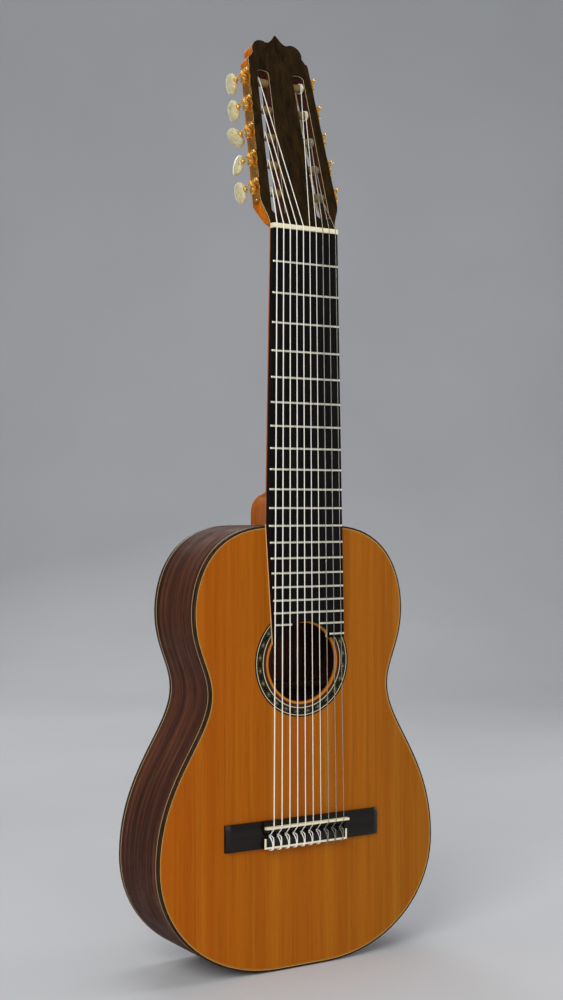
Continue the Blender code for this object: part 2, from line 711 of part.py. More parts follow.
def make_neck():
    """Neck and heel in one piece, with the web and foot that lock it into the body."""
    top_z = NUT_Z + NUT_THICK
    base_z = BODY_LENGTH + GAP
    full_depth = back_y(0, BODY_LENGTH) - NECK_FACE_Y
    sections = []
    for part in HEEL_LEVELS:
        z = base_z + (HEEL_LENGTH - GAP) * part
        share = (1 - part**HEEL_CURVE) ** (1 / HEEL_ROUNDING)
        depth = NECK_THICK_JOINT + (full_depth - NECK_THICK_JOINT) * max(share, HEEL_LEAST_SHARE)
        sections.append(neck_section(z, neck_width(z) - 2 * GAP, depth, min(1.0, share * HEEL_SLIM_RATE)))
    runs = [(HEEL_TOP_RISE, HEEL_TOP_SHARE)] + [(rise, 0) for rise in SHAFT_RISES]
    for rise, share in runs + [(NUT_Z - BODY_LENGTH - HEEL_LENGTH, 0)]:
        z = BODY_LENGTH + HEEL_LENGTH + rise
        along = (z - BODY_LENGTH) / (NUT_Z - BODY_LENGTH)
        slim = NECK_THICK_JOINT + (NECK_THICK_NUT - NECK_THICK_JOINT) * along
        sections.append(neck_section(z, neck_width(z) - 2 * GAP, slim + (full_depth - slim) * share, share))
    tilt = math.tan(HEAD_TILT)
    sections.append(neck_section(top_z - GAP, NUT_WIDTH - 2 * GAP, NECK_THICK_NUT, 0, tilt))
    neck = loft("neck", [sections], "cedar_neck", smooth=40)
    low, high = neck_block_box()
    web = bmesh.new()
    half = NECK_WEB_WIDTH / 2
    web_low = FRONT_Y + BINDING_HEIGHT + GAP
    web_high = back_y(half, BODY_LENGTH) - BINDING_HEIGHT - GAP
    box_into(web, (-half, web_low, high[2] - OVERLAP), (half, web_high, BODY_LENGTH + OVERLAP))
    combine(neck, helper("neck_web", web), "UNION")
    block = bmesh.new()
    foot_y = low[1] + NECK_FOOT_THICK
    profile = [(low[1], high[2]), (low[1], NECK_FOOT_Z), (foot_y, NECK_FOOT_Z), (foot_y, low[2]), (high[1], low[2])]
    profile.append((high[1], high[2]))
    prism_into(block, [Vector((low[0], y, z)) for y, z in profile], Vector((NECK_BLOCK_WIDTH, 0, 0)))
    combine(neck, helper("neck_block", block), "UNION")
    wedge = bmesh.new()
    face_y = NECK_FACE_Y + GAP / 4
    plan = [Vector((x, face_y, z)) for x, z in board_plan(BODY_LENGTH + OVERLAP, 2 * GAP)]
    prism_into(wedge, plan, Vector((0, FRONT_Y - GAP - face_y, 0)))
    combine(neck, helper("fingerboard_wedge", wedge), "UNION")


def board_edge_bass(z):
    """The fingerboard's bass edge: it steps in past the body joint."""
    if z >= BODY_LENGTH:
        return -neck_width(z) / 2
    return -JOINT_WIDTH / 2 + BASS_KINK * (BODY_LENGTH - z) / (BODY_LENGTH - LAST_FRET_Z)


def board_plan(top_z, margin=0.0):
    """The plan of the fingerboard, or of the wedge under it, below a given height."""
    tongue_z = fret_z(FRET_COUNT + 1) - TONGUE_LENGTH
    edge_x = board_edge_bass(LAST_FRET_Z)
    drop = math.sqrt(max(0.0, BOARD_END_RADIUS**2 - edge_x**2))
    first = math.atan2(drop, board_edge_bass(HOLE_Z + drop))
    last = math.acos(TONGUE_INNER_X / BOARD_END_RADIUS)
    plan = [(board_edge_bass(top_z) + margin, top_z)]
    if top_z > BODY_LENGTH:
        plan.append((board_edge_bass(BODY_LENGTH) + margin, BODY_LENGTH))
    for i in range(BOARD_END_STEPS + 1):
        angle = first + (last - first) * i / BOARD_END_STEPS
        shift = margin if i == 0 else 0
        plan.append((BOARD_END_RADIUS * math.cos(angle) + shift, HOLE_Z + BOARD_END_RADIUS * math.sin(angle)))
    plan.append((TONGUE_INNER_X, tongue_z))
    plan.append((neck_width(tongue_z) / 2 - margin, tongue_z))
    plan.append((neck_width(top_z) / 2 - margin, top_z))
    return plan


def fret_into(bm, low_x, high_x, z):
    half = FRET_WIDTH / 2
    ring = [Vector((low_x, BOARD_TOP_Y - FRET_HEIGHT * rise, z + half * across)) for across, rise in FRET_PROFILE]
    prism_into(bm, ring, Vector((high_x - low_x, 0, 0)))


def make_fingerboard():
    """The fingerboard with its frets pressed in."""
    bm = bmesh.new()
    plan = [Vector((x, BOARD_TOP_Y, z)) for x, z in board_plan(NUT_Z - GAP)]
    prism_into(bm, plan, Vector((0, BOARD_THICK, 0)))
    board = add_mesh_object("fingerboard", bm, "ebony")
    bm = bmesh.new()
    for number in range(1, FRET_COUNT):
        z = fret_z(number)
        narrow_z = z + FRET_WIDTH / 2
        fret_into(bm, board_edge_bass(z - FRET_WIDTH / 2) + FRET_INSET, neck_width(narrow_z) / 2 - FRET_INSET, z)
    z = LAST_FRET_Z
    low_z = z - FRET_WIDTH / 2
    arc_x = math.sqrt(max(0.0, BOARD_END_RADIUS**2 - (low_z - HOLE_Z) ** 2)) + FRET_INSET
    fret_into(bm, board_edge_bass(low_z) + FRET_INSET, -arc_x, z)
    fret_into(bm, arc_x, neck_width(z) / 2 - FRET_INSET, z)
    z = fret_z(FRET_COUNT + 1)
    fret_into(bm, TONGUE_INNER_X + FRET_INSET, neck_width(z) / 2 - FRET_INSET, z)
    combine(board, helper("frets", bm), "UNION")


def make_nut():
    bm = bmesh.new()
    half = NUT_WIDTH / 2
    seat_y = NECK_FACE_Y - GAP
    box_into(bm, (-half, NUT_TOP_Y, NUT_Z), (half, seat_y, NUT_Z + NUT_THICK - GAP))
    add_mesh_object("nut", bm, "bone")


def head_point(x, s, b):
    return HEAD_ORIGIN + Vector((x, 0, 0)) + HEAD_S * s + HEAD_B * b


def head_half_width(s):
    return HEAD_WIDE / 2 - HEAD_TAPER * (s - HEAD_WIDE_S)


def head_shoulder(across, up):
    """A point of the shoulder, in shares of its step out and of its height."""
    return NUT_WIDTH / 2 + (HEAD_WIDE - NUT_WIDTH) / 2 * across, HEAD_WIDE_S * up


def head_outline(start=0.0):
    """The head's plan: concave shoulders, a tapering middle and a three-lobed crest."""
    end = head_half_width(HEAD_SIDE_END)
    half = [(NUT_WIDTH / 2, start)] + [head_shoulder(across, up) for across, up in HEAD_SHOULDER]
    half += [head_shoulder(1, 1), (end, HEAD_SIDE_END)]
    half.append((end - SIDE_STEP_X, HEAD_SIDE_END + SIDE_STEP_S))
    for i in range(LOBE_POINTS):
        angle = LOBE_FIRST_ANGLE + LOBE_TURN * i
        x = end - LOBE_INSET + LOBE_RADIUS * math.cos(angle)
        half.append((x, HEAD_SIDE_END + LOBE_RISE + LOBE_RADIUS * math.sin(angle)))
    crest = [(x, HEAD_SIDE_END + s) for x, s in CREST]
    return half + crest + [(-x, s) for x, s in reversed(half + crest[:-1])]


def slot_edge(start, end, s):
    return start + (end - start) * (s - SLOT_START) / (SLOT_END - SLOT_START)


def slot_outline(side):
    """A slot with a rounded end at each end."""
    outline = []
    for s_end, sign in ((SLOT_START, -1), (SLOT_END, 1)):
        inner = slot_edge(SLOT_INNER_START, SLOT_INNER_END, s_end)
        outer = slot_edge(SLOT_OUTER_START, SLOT_OUTER_END, s_end)
        middle = (inner + outer) / 2
        radius = (outer - inner) / 2
        rise = radius * SLOT_ROUNDING
        for i in range(SLOT_END_STEPS + 1):
            angle = math.pi * i / SLOT_END_STEPS
            x = middle - sign * radius * math.cos(angle)
            s = s_end - sign * rise + sign * rise * math.sin(angle)
            outline.append((side * x, s))
    return outline


def slot_cutter(name):
    bm = bmesh.new()
    for side in SIDES.values():
        points = [head_point(x, s, -OVERLAP) for x, s in slot_outline(side)]
        prism_into(bm, points, HEAD_B * (HEAD_THICK + 2 * OVERLAP))
    return helper(name, bm)


def tuner_frame(side, index):
    """Origin and axes of one tuner: outwards, along the plate and through the head."""
    s = FIRST_TUNER_S + TUNER_PITCH * index
    lean = math.atan(HEAD_TAPER)
    across = Vector((side, 0, 0))
    outward = across * math.cos(lean) + HEAD_S * math.sin(lean)
    along = -across * math.sin(lean) + HEAD_S * math.cos(lean)
    origin = head_point(side * head_half_width(s), s, ROLLER_DEPTH)
    return origin, outward, along


def all_tuners():
    for name, side in SIDES.items():
        for index in range(TUNERS_PER_SIDE):
            yield name, side, index


def throat_helper():
    """What the head keeps: the neck's round back at the nut, square further up."""
    face = VENEER_THICK
    neck_depth = NECK_THICK_NUT / math.cos(HEAD_TILT)
    past = HEAD_SIDE_END + LOBE_RISE + CREST[-1][1]
    shares = [i / THROAT_STEPS for i in range(THROAT_STEPS + 1)]
    stations = [(-OVERLAP, 0)] + [(THROAT_LENGTH * share, share) for share in shares] + [(past, 1)]
    rings = []
    for s, share in stations:
        half = NUT_WIDTH / 2 + (HEAD_WIDE - NUT_WIDTH) / 2 * share**THROAT_FLARE + THROAT_MARGIN
        depth = neck_depth + (HEAD_THICK + OVERLAP - face - neck_depth) * share
        power = THROAT_POWER + (THROAT_END_POWER - THROAT_POWER) * share
        row = []
        for u in SECTION_LEVELS:
            x = max(half * (1 - u**power) ** (1 / power), NECK_BACK_FLAT / 2)
            row.append((x, face + depth * u))
        ring = [head_point(x, s, b) for x, b in row]
        rings.append(ring + [head_point(-x, s, b) for x, b in reversed(row)])
    bm = bmesh.new()
    loft_into(bm, rings)
    return helper("head_throat", bm)


def make_head():
    bm = bmesh.new()
    outline = head_outline()
    prism_into(bm, [head_point(x, s, VENEER_THICK + GAP) for x, s in outline], HEAD_B * (HEAD_THICK - VENEER_THICK))
    head = add_mesh_object("headstock", bm, "cedar_neck")
    combine(head, throat_helper(), "INTERSECT")
    combine(head, slot_cutter("head_slots"), "DIFFERENCE")
    holes = bmesh.new()
    for _, side, index in all_tuners():
        origin, outward, _ = tuner_frame(side, index)
        start = origin + outward * OVERLAP
        end = origin - outward * (ROLLER_REACH + ROLLER_CLEARANCE)
        cylinder_into(holes, start, end, (ROLLER_RADIUS + ROLLER_CLEARANCE) / math.cos(math.pi / ROUND_SEGMENTS))
    combine(head, helper("roller_holes", holes), "DIFFERENCE")
    bm = bmesh.new()
    start = VENEER_THICK * math.tan(HEAD_TILT) + GAP
    prism_into(bm, [head_point(x, s, 0) for x, s in head_outline(start)], HEAD_B * VENEER_THICK)
    veneer = add_mesh_object("head_veneer", bm, "rosewood")
    combine(veneer, slot_cutter("veneer_slots"), "DIFFERENCE")


def plate_outline():
    """One side plate in (along, through) from the first roller: a scalloped strip."""
    low = -PLATE_END
    high = TUNER_PITCH * (TUNERS_PER_SIDE - 1) + PLATE_END
    steps = PLATE_STEPS_PER_TUNER * TUNERS_PER_SIDE
    edge = []
    for i in range(steps + 1):
        v = low + (high - low) * i / steps
        wave = math.cos(2 * math.pi * v / TUNER_PITCH)
        taper = PLATE_END_TAPER if i in (0, steps) else 1.0
        edge.append((v, (PLATE_HALF_WIDTH + PLATE_SCALLOP * wave) * taper))
    return edge + [(v, -b) for v, b in reversed(edge)]


def make_plate(name, side):
    origin, outward, along = tuner_frame(side, 0)
    spread = along * TUNER_PITCH / math.cos(math.atan(HEAD_TAPER))

    def place(u, v, b):
        return origin + outward * u + along * v + HEAD_B * b

    bm = bmesh.new()
    prism_into(bm, [place(GAP, v, b) for v, b in plate_outline()], outward * PLATE_THICK)
    plate = add_mesh_object("tuner_plate_" + name, bm, "gold")
    cheeks = bmesh.new()
    bores = bmesh.new()
    for index in range(TUNERS_PER_SIDE):
        v = index * spread.length
        worm_v = v + CENTRE_DISTANCE
        for direction in (-1, 1):
            near = direction * CHEEK_START
            far = direction * (CHEEK_START + CHEEK_THICK)
            foot_u = PLATE_OUTER - GAP
            ring = [place(foot_u, worm_v - CHEEK_WIDTH / 2, near), place(foot_u, worm_v + CHEEK_WIDTH / 2, near)]
            for across, rise in CHEEK_SHAPE:
                ring.append(place(GEAR_MIDDLE + CHEEK_RISE * rise, worm_v + CHEEK_WIDTH / 2 * across, near))
            prism_into(cheeks, ring, HEAD_B * (far - near))
        reach = CHEEK_START + CHEEK_THICK + OVERLAP
        radius = (WORM_CORE_RADIUS + BEARING_CLEARANCE) / math.cos(math.pi / ROUND_SEGMENTS)
        cylinder_into(bores, place(GEAR_MIDDLE, worm_v, -reach), place(GEAR_MIDDLE, worm_v, reach), radius)
        journal = (JOURNAL_RADIUS + BEARING_CLEARANCE) / math.cos(math.pi / ROUND_SEGMENTS)
        cylinder_into(bores, place(-OVERLAP, v, 0), place(PLATE_OUTER + OVERLAP / 4, v, 0), journal)
    combine(plate, helper("cheeks_" + name, cheeks), "UNION")
    combine(plate, helper("bores_" + name, bores), "DIFFERENCE")


def ring_points(origin, axis_1, axis_2, radius_1, radius_2, segments):
    points = []
    for i in range(segments):
        angle = 2 * math.pi * i / segments
        points.append(origin + axis_1 * radius_1 * math.cos(angle) + axis_2 * radius_2 * math.sin(angle))
    return points


def roller_mesh():
    """Roller, journal, gear and gear screw, along local X with the gear's tooth at +Z."""
    x_axis = Vector((1, 0, 0))
    y_axis = Vector((0, 1, 0))
    z_axis = Vector((0, 0, 1))
    end = GEAR_START + GEAR_WIDTH + GEAR_SCREW_HEIGHT
    steps = ((-ROLLER_REACH, ROLLER_RADIUS), (-2 * GAP, ROLLER_RADIUS), (-2 * GAP, JOURNAL_RADIUS))
    inside = GEAR_START + GEAR_WIDTH / 4
    steps += ((inside, JOURNAL_RADIUS), (inside, GEAR_SCREW_RADIUS), (end, GEAR_SCREW_RADIUS * GEAR_SCREW_TAPER))
    rings = []
    for u, radius in steps:
        rings.append(ring_points(x_axis * u, z_axis, y_axis, radius, radius, ROLLER_SEGMENTS))
    roller = loft("roller_blank", [rings], "roller", smooth=40)
    bm = bmesh.new()
    tip = GEAR_PITCH_RADIUS + GEAR_ADDENDUM
    root = GEAR_PITCH_RADIUS - GEAR_DEDENDUM
    tip_half = (TOOTH_THICK / 2 - GEAR_ADDENDUM * FLANK_SLOPE) / tip
    root_half = (TOOTH_THICK / 2 + GEAR_DEDENDUM * FLANK_SLOPE) / root
    profile = []
    for tooth in range(GEAR_TEETH):
        middle = 2 * math.pi * tooth / GEAR_TEETH
        for offset, radius in ((-root_half, root), (-tip_half, tip), (tip_half, tip), (root_half, root)):
            angle = middle + offset
            profile.append(Vector((GEAR_START, radius * math.sin(angle), radius * math.cos(angle))))
    prism_into(bm, profile, Vector((GEAR_WIDTH, 0, 0)))
    combine(roller, helper("gear_blank", bm), "UNION")
    mesh = roller.data
    bpy.data.objects.remove(roller)
    return mesh


def thread_radius(angle, height):
    """Radius of the right-hand worm; its groove faces angle 0 at height 0."""
    turns = height / WORM_LEAD - angle / (2 * math.pi) - 0.5
    away = abs((turns + 0.5) % 1.0 - 0.5) * WORM_LEAD
    tip = WORM_PITCH_RADIUS + WORM_ADDENDUM
    flat = THREAD_THICK / 2 - WORM_ADDENDUM * FLANK_SLOPE
    if away <= flat:
        return tip
    return max(WORM_CORE_RADIUS, tip - (away - flat) / FLANK_SLOPE)


def worm_mesh():
    """Worm and its shaft along local Z, with local X towards the gear."""
    half = WORM_TURNS * WORM_LEAD / 2
    rings = []

    def plain(height, radius):
        rings.append(
            ring_points(Vector((0, 0, height)), Vector((1, 0, 0)), Vector((0, 1, 0)), radius, radius, WORM_SEGMENTS)
        )

    plain(-TIP_REACH, TIP_RADIUS * TIP_END_SHARE)
    plain(-TIP_REACH + TIP_LENGTH * TIP_BULGE, TIP_RADIUS)
    plain(-TIP_REACH + TIP_LENGTH, WORM_CORE_RADIUS)
    plain(-half - WORM_LEAD / 5, WORM_CORE_RADIUS)
    for step in range(WORM_TURNS * WORM_RINGS_PER_TURN + 1):
        height = -half + step * WORM_LEAD / WORM_RINGS_PER_TURN
        ring = []
        for i in range(WORM_SEGMENTS):
            angle = 2 * math.pi * i / WORM_SEGMENTS
            radius = thread_radius(angle, height)
            ring.append(Vector((radius * math.cos(angle), radius * math.sin(angle), height)))
        rings.append(ring)
    plain(half + WORM_LEAD / 5, WORM_CORE_RADIUS)
    plain(BUTTON_START + BUTTON_BORE_DEPTH - GAP, WORM_CORE_RADIUS)
    worm = loft("worm_blank", [rings], "gold", smooth=40)
    mesh = worm.data
    bpy.data.objects.remove(worm)
    return mesh


def button_mesh():
    """Oval button with a gold collar's length of stem, bored for the shaft, along local Z."""
    bore = (WORM_CORE_RADIUS + GAP) / math.cos(math.pi / ROUND_SEGMENTS)
    start = BUTTON_START
    paddle = start + COLLAR_LENGTH
    length = BUTTON_LENGTH - COLLAR_LENGTH
    steps = [(start + BUTTON_BORE_DEPTH, bore, bore), (start, bore, bore), (start, COLLAR_RADIUS, COLLAR_RADIUS)]
    steps.append((paddle, COLLAR_RADIUS, COLLAR_RADIUS))
    for along, tall, thick in BUTTON_SHAPE:
        steps.append((paddle + length * along, BUTTON_HEIGHT / 2 * tall, BUTTON_THICK / 2 * thick))
    rings = []
    for height, tall, thick in steps:
        origin = Vector((0, 0, height))
        rings.append(ring_points(origin, Vector((1, 0, 0)), Vector((0, 1, 0)), tall, thick, ROUND_SEGMENTS))
    button = loft("button_blank", [rings], "pearl", smooth=50)
    mesh = button.data
    bpy.data.objects.remove(button)
    return mesh


def placed(name, mesh, origin, x_axis, z_axis):
    """An object whose origin and local axes are given, for pieces that turn."""
    y_axis = z_axis.cross(x_axis)
    turn = Matrix((x_axis, y_axis, z_axis)).transposed().to_4x4()
    ob = bpy.data.objects.new(name, mesh)
    ob.matrix_world = Matrix.Translation(origin) @ turn
    PARTS.objects.link(ob)
    return ob


def make_tuners():
    roller = roller_mesh()
    worm = worm_mesh()
    button = button_mesh()
    for name, side, index in all_tuners():
        origin, outward, along = tuner_frame(side, index)
        label = name + "_" + str(index + 1)
        placed("roller_" + label, roller, origin, outward, along)
        centre = origin + outward * GEAR_MIDDLE + along * CENTRE_DISTANCE
        placed("worm_" + label, worm, centre, -along, HEAD_B)
        turn = Matrix.Rotation(math.radians(BUTTON_TURNS[index]), 3, HEAD_B)
        placed("button_" + label, button, centre, turn @ -along, HEAD_B)


def bridge_up(height):
    return FRONT_Y - GAP - height


def make_bridge():
    ridge_z = BRIDGE_TOP_Z - SADDLE_RIDGE_LENGTH
    slot_floor = SADDLE_RIDGE_HEIGHT - SADDLE_SLOT_DEPTH
    slot_low = SADDLE_Z - SADDLE_THICK / 2 - GAP
    slot_high = SADDLE_Z + SADDLE_THICK / 2 + GAP
    trough = WING_HEIGHT - TROUGH_DROP
    profile = [(BRIDGE_TOP_Z, 0), (BRIDGE_TOP_Z, SADDLE_RIDGE_HEIGHT - RIDGE_CHAMFER)]
    profile += [(BRIDGE_TOP_Z - RIDGE_CHAMFER, SADDLE_RIDGE_HEIGHT), (slot_high, SADDLE_RIDGE_HEIGHT)]
    profile += [(slot_high, slot_floor), (slot_low, slot_floor), (slot_low, SADDLE_RIDGE_HEIGHT)]
    profile += [(ridge_z, SADDLE_RIDGE_HEIGHT), (ridge_z - RIDGE_SLOPE, trough), (TIE_TOP_Z, trough)]
    profile += [(TIE_TOP_Z, TIE_HEIGHT), (BRIDGE_LOW_Z, TIE_HEIGHT), (BRIDGE_LOW_Z, 0)]
    bm = bmesh.new()
    ring = [Vector((-TIE_WIDTH / 2, bridge_up(h), z)) for z, h in profile]
    prism_into(bm, ring, Vector((TIE_WIDTH, 0, 0)))
    bridge = add_mesh_object("bridge", bm, "rosewood")
    wings = bmesh.new()
    stations = ((TIE_WIDTH / 2 - OVERLAP / 2, WING_HEIGHT), (BRIDGE_WIDTH / 2 - WING_BEVEL, WING_HEIGHT))
    stations += ((BRIDGE_WIDTH / 2, WING_TIP_HEIGHT),)
    for side in SIDES.values():
        sections = []
        for x, height in stations:
            crown = ((BRIDGE_LOW_Z, 0), (BRIDGE_LOW_Z, height - WING_EDGE_DROP), (BRIDGE_LOW_Z + WING_EDGE_RUN, height))
            crown += ((BRIDGE_TOP_Z - WING_EDGE_RUN, height), (BRIDGE_TOP_Z, height - WING_EDGE_DROP), (BRIDGE_TOP_Z, 0))
            sections.append([Vector((side * x, bridge_up(h), z)) for z, h in crown])
        loft_into(wings, sections)
    combine(bridge, helper("bridge_wings", wings), "UNION")
    holes = bmesh.new()
    bore = TIE_HOLE_RADIUS / math.cos(math.pi / TIE_HOLE_SEGMENTS)
    y = bridge_up(TIE_HOLE_HEIGHT)
    for number in range(1, STRING_COUNT + 1):
        x = saddle_x(number)
        cylinder_into(holes, (x, y, BRIDGE_LOW_Z - OVERLAP), (x, y, TIE_TOP_Z + OVERLAP), bore, TIE_HOLE_SEGMENTS)
    combine(bridge, helper("tie_holes", holes), "DIFFERENCE")
    rebate = bmesh.new()
    loft_into(rebate, inlay_sections(GAP), closed=True)
    combine(bridge, helper("inlay_rebate", rebate), "DIFFERENCE")
    loft("tie_block_inlay", [inlay_sections(0)], "bone", closed=True)
    bm = bmesh.new()
    half = TIE_WIDTH / 2
    low = (-half, bridge_up(SADDLE_TOP), SADDLE_Z - SADDLE_THICK / 2)
    box_into(bm, low, (half, bridge_up(slot_floor + GAP), SADDLE_Z + SADDLE_THICK / 2))
    add_mesh_object("saddle", bm, "bone")


def inlay_sections(margin):
    """The bone frame round the top of the tie block, or with a margin the rebate for it."""
    outer_x = TIE_WIDTH / 2
    inner = INLAY_WIDTH + margin
    outside = OVERLAP / 2 if margin else 0
    top = bridge_up(TIE_HEIGHT + outside)
    floor = bridge_up(TIE_HEIGHT - INLAY_THICK - margin)
    sections = []
    for across, end in ((-1, BRIDGE_LOW_Z), (1, BRIDGE_LOW_Z), (1, TIE_TOP_Z), (-1, TIE_TOP_Z)):
        toward = 1 if end == BRIDGE_LOW_Z else -1
        x_out = across * (outer_x + outside)
        z_out = end - toward * outside
        x_in = across * (outer_x - inner)
        z_in = end + toward * inner
        corners = ((x_out, top, z_out), (x_out, floor, z_out), (x_in, floor, z_in), (x_in, top, z_in))
        sections.append([Vector(c) for c in corners])
    return sections


def nut_x(number):
    return ((STRING_COUNT + 1) / 2 - number) * NUT_SPACING


def saddle_x(number):
    return ((STRING_COUNT + 1) / 2 - number) * SADDLE_SPACING


def string_seat(number):
    """Side and tuner index of a string: bass 6 to 10 and treble 5 to 1 from crest to nut."""
    if number > 5:
        return "bass", -1, 10 - number
    return "treble", 1, number - 1


def winding_start(number):
    """Where a string meets its roller, its direction there and the axes of its turns."""
    _, side, index = string_seat(number)
    radius = STRING_DIAMETERS[number - 1] / 2
    origin, outward, _ = tuner_frame(side, index)
    share = index / (TUNERS_PER_SIDE - 1)
    centre = origin + outward * (WINDING_U_FIRST + (WINDING_U_LAST - WINDING_U_FIRST) * share)
    turn_radius = (ROLLER_RADIUS + GAP + radius) / math.cos(math.pi / WINDING_STEPS)
    nut = Vector((nut_x(number), NUT_TOP_Y - GAP - radius, NUT_Z + NUT_THICK))
    touch = centre - HEAD_B * turn_radius
    for _ in range(4):
        heading = touch - nut
        heading -= outward * heading.dot(outward)
        heading.normalize()
        radial = heading.cross(outward).normalized()
        if radial.dot(HEAD_B) > 0:
            radial = -radial
        touch = centre + radial * turn_radius
    return nut, centre, heading, radial, turn_radius, outward


def winding_points(number):
    _, centre, heading, radial, turn_radius, outward = winding_start(number)
    diameter = STRING_DIAMETERS[number - 1]
    advance = diameter + WINDING_SPACE
    points = []
    steps = int(WINDING_TURNS * WINDING_STEPS)
    for i in range(steps + 1):
        angle = 2 * math.pi * i / WINDING_STEPS
        arm = radial * math.cos(angle) + heading * math.sin(angle)
        points.append(centre + arm * turn_radius + outward * advance * angle / (2 * math.pi))
    return points


def tube_into(bm, name, points, radius):
    """A closed tube along the points."""
    curve = bpy.data.curves.new(name, "CURVE")
    curve.dimensions = "3D"
    curve.bevel_depth = radius
    curve.bevel_resolution = 1
    curve.use_fill_caps = True
    spline = curve.splines.new("POLY")
    spline.points.add(len(points) - 1)
    for target, point in zip(spline.points, points):
        target.co = (*point, 1)
    ob = bpy.data.objects.new(name, curve)
    CUTTERS.objects.link(ob)
    graph = bpy.context.evaluated_depsgraph_get()
    bm.from_mesh(bpy.data.meshes.new_from_object(ob.evaluated_get(graph)))
    bpy.data.objects.remove(ob)
    bmesh.ops.remove_doubles(bm, verts=bm.verts, dist=1e-6)


def string_points(number):
    """From just short of the roller over nut and saddle to the loop on the tie block."""
    diameter = STRING_DIAMETERS[number - 1]
    radius = diameter / 2
    nut = winding_start(number)[0]
    points = [nut, Vector((nut_x(number), nut.y, NUT_Z))]
    x = saddle_x(number)
    saddle_y = bridge_up(SADDLE_TOP) - GAP - radius
    half = SADDLE_THICK / 2
    points += [Vector((x, saddle_y, SADDLE_Z + half)), Vector((x, saddle_y, SADDLE_Z - half))]
    hole_y = bridge_up(TIE_HOLE_HEIGHT)
    over_y = bridge_up(TIE_HEIGHT) - GAP - radius
    points += [Vector((x, hole_y, TIE_TOP_Z + LOOP_DROP)), Vector((x, hole_y, BRIDGE_LOW_Z - LOOP_DROP))]
    step = SADDLE_SPACING * LOOP_SHARE
    rear = BRIDGE_LOW_Z - LOOP_REAR
    points.append(Vector((x + step / 4, hole_y - LOOP_DROP, rear + LOOP_DROP / 2)))
    points.append(Vector((x + step * 3 / 4, (hole_y + over_y) / 2, rear)))
    points.append(Vector((x + step, over_y + LOOP_CORNER, rear + LOOP_DROP)))
    points.append(Vector((x + step, over_y, BRIDGE_LOW_Z + LOOP_DROP)))
    points.append(Vector((x + step, over_y, TIE_TOP_Z)))
    points.append(Vector((x + step, over_y + LOOP_DROP, TIE_TOP_Z + LOOP_CORNER)))
    return points


def least_gap(points, diameter):
    """Least clear distance of a winding to itself, between turns."""
    least = 1.0
    skip = WINDING_STEPS // 2
    for i, first in enumerate(points):
        for second in points[i + skip :]:
            least = min(least, (first - second).length - diameter)
    return least


def make_strings():
    """Each string in one piece, from its turns on the roller to its loop on the bridge."""
    tightest = 1.0
    for number, diameter in enumerate(STRING_DIAMETERS, start=1):
        turns = winding_points(number)
        tightest = min(tightest, least_gap(turns, diameter))
        key = "clear_nylon" if number < 4 else "silver_wound"
        bm = bmesh.new()
        tube_into(bm, "string", list(reversed(turns)) + string_points(number), diameter / 2)
        add_mesh_object("string_" + str(number), bm, key, smooth=60)
    print("least gap between turns of a winding: %.2f mm" % (tightest * 1000))


make_soundboard()
make_rosette()
make_back()
make_ribs()
make_edges()
make_soundboard_bracing()
make_back_bracing()
make_tail()
make_neck()
make_fingerboard()
make_nut()
make_head()
for plate_name, plate_side in SIDES.items():
    make_plate(plate_name, plate_side)
make_tuners()
make_bridge()
make_strings()
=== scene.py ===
"""Looks of the ten-string guitar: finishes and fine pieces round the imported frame.

Metres, in the frame's own axes: +Z to the head, +X the treble side, -Y the front.
"""

import math

import bmesh
import bpy
from mathutils import Matrix, Vector


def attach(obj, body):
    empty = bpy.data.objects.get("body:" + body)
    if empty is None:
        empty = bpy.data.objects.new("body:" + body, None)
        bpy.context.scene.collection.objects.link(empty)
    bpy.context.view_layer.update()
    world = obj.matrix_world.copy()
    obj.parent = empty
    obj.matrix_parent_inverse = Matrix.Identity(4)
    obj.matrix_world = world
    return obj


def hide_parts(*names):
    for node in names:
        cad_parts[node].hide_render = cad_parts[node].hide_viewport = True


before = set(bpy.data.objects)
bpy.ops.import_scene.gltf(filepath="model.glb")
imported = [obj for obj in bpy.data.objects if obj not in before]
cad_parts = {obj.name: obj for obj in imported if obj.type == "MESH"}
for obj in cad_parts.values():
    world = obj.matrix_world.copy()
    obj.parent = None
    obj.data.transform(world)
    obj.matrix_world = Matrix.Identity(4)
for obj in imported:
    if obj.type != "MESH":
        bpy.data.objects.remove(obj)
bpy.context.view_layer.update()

# Camera of the photograph, 563 x 1000 pixels
IMAGE_HEIGHT = 1000
FOCAL_PIXELS = 1516.6
CAMERA_AZIMUTH = math.radians(-31.563)
CAMERA_ELEVATION = math.radians(-0.447)
CAMERA_ROLL = math.radians(-0.047)
CAMERA_DISTANCE = 1.6630
CAMERA_AIM_X = -0.0266
CAMERA_AIM_Z = 0.5142
SENSOR_HEIGHT = 24.0

# Sizes that the fine pieces share with the frame
GAP = 0.0003
BODY_LENGTH = 0.486
TAIL_DEPTH = 0.101
NECK_DEPTH = 0.095
BACK_ARCH = 0.004
LOWER_BOUT_WIDTH = 0.356
LOWER_BOUT_Z = 0.1265
WAIST_WIDTH = 0.231
WAIST_Z = 0.305
UPPER_BOUT_WIDTH = 0.271
UPPER_BOUT_Z = 0.392
TAIL_FLAT = 0.060
SHOULDER_FLAT = 0.080
TAIL_FULLNESS = 0.0855
LOWER_FULLNESS_TAIL = 0.071
LOWER_FULLNESS_WAIST = 0.091
WAIST_FULLNESS_LOWER = 0.046
WAIST_FULLNESS_UPPER = 0.0272
UPPER_FULLNESS_WAIST = 0.0406
UPPER_FULLNESS_NECK = 0.0305
SHOULDER_FULLNESS = 0.0817
OUTLINE_STEPS = 22
TOP_THICK = 0.0025
BACK_THICK = 0.0025
RIB_THICK = 0.0022
BINDING_WIDTH = 0.0022
BINDING_HEIGHT = 0.0050
BINDING_ROUND = 0.0009
LINE_WIDTH = 0.0006
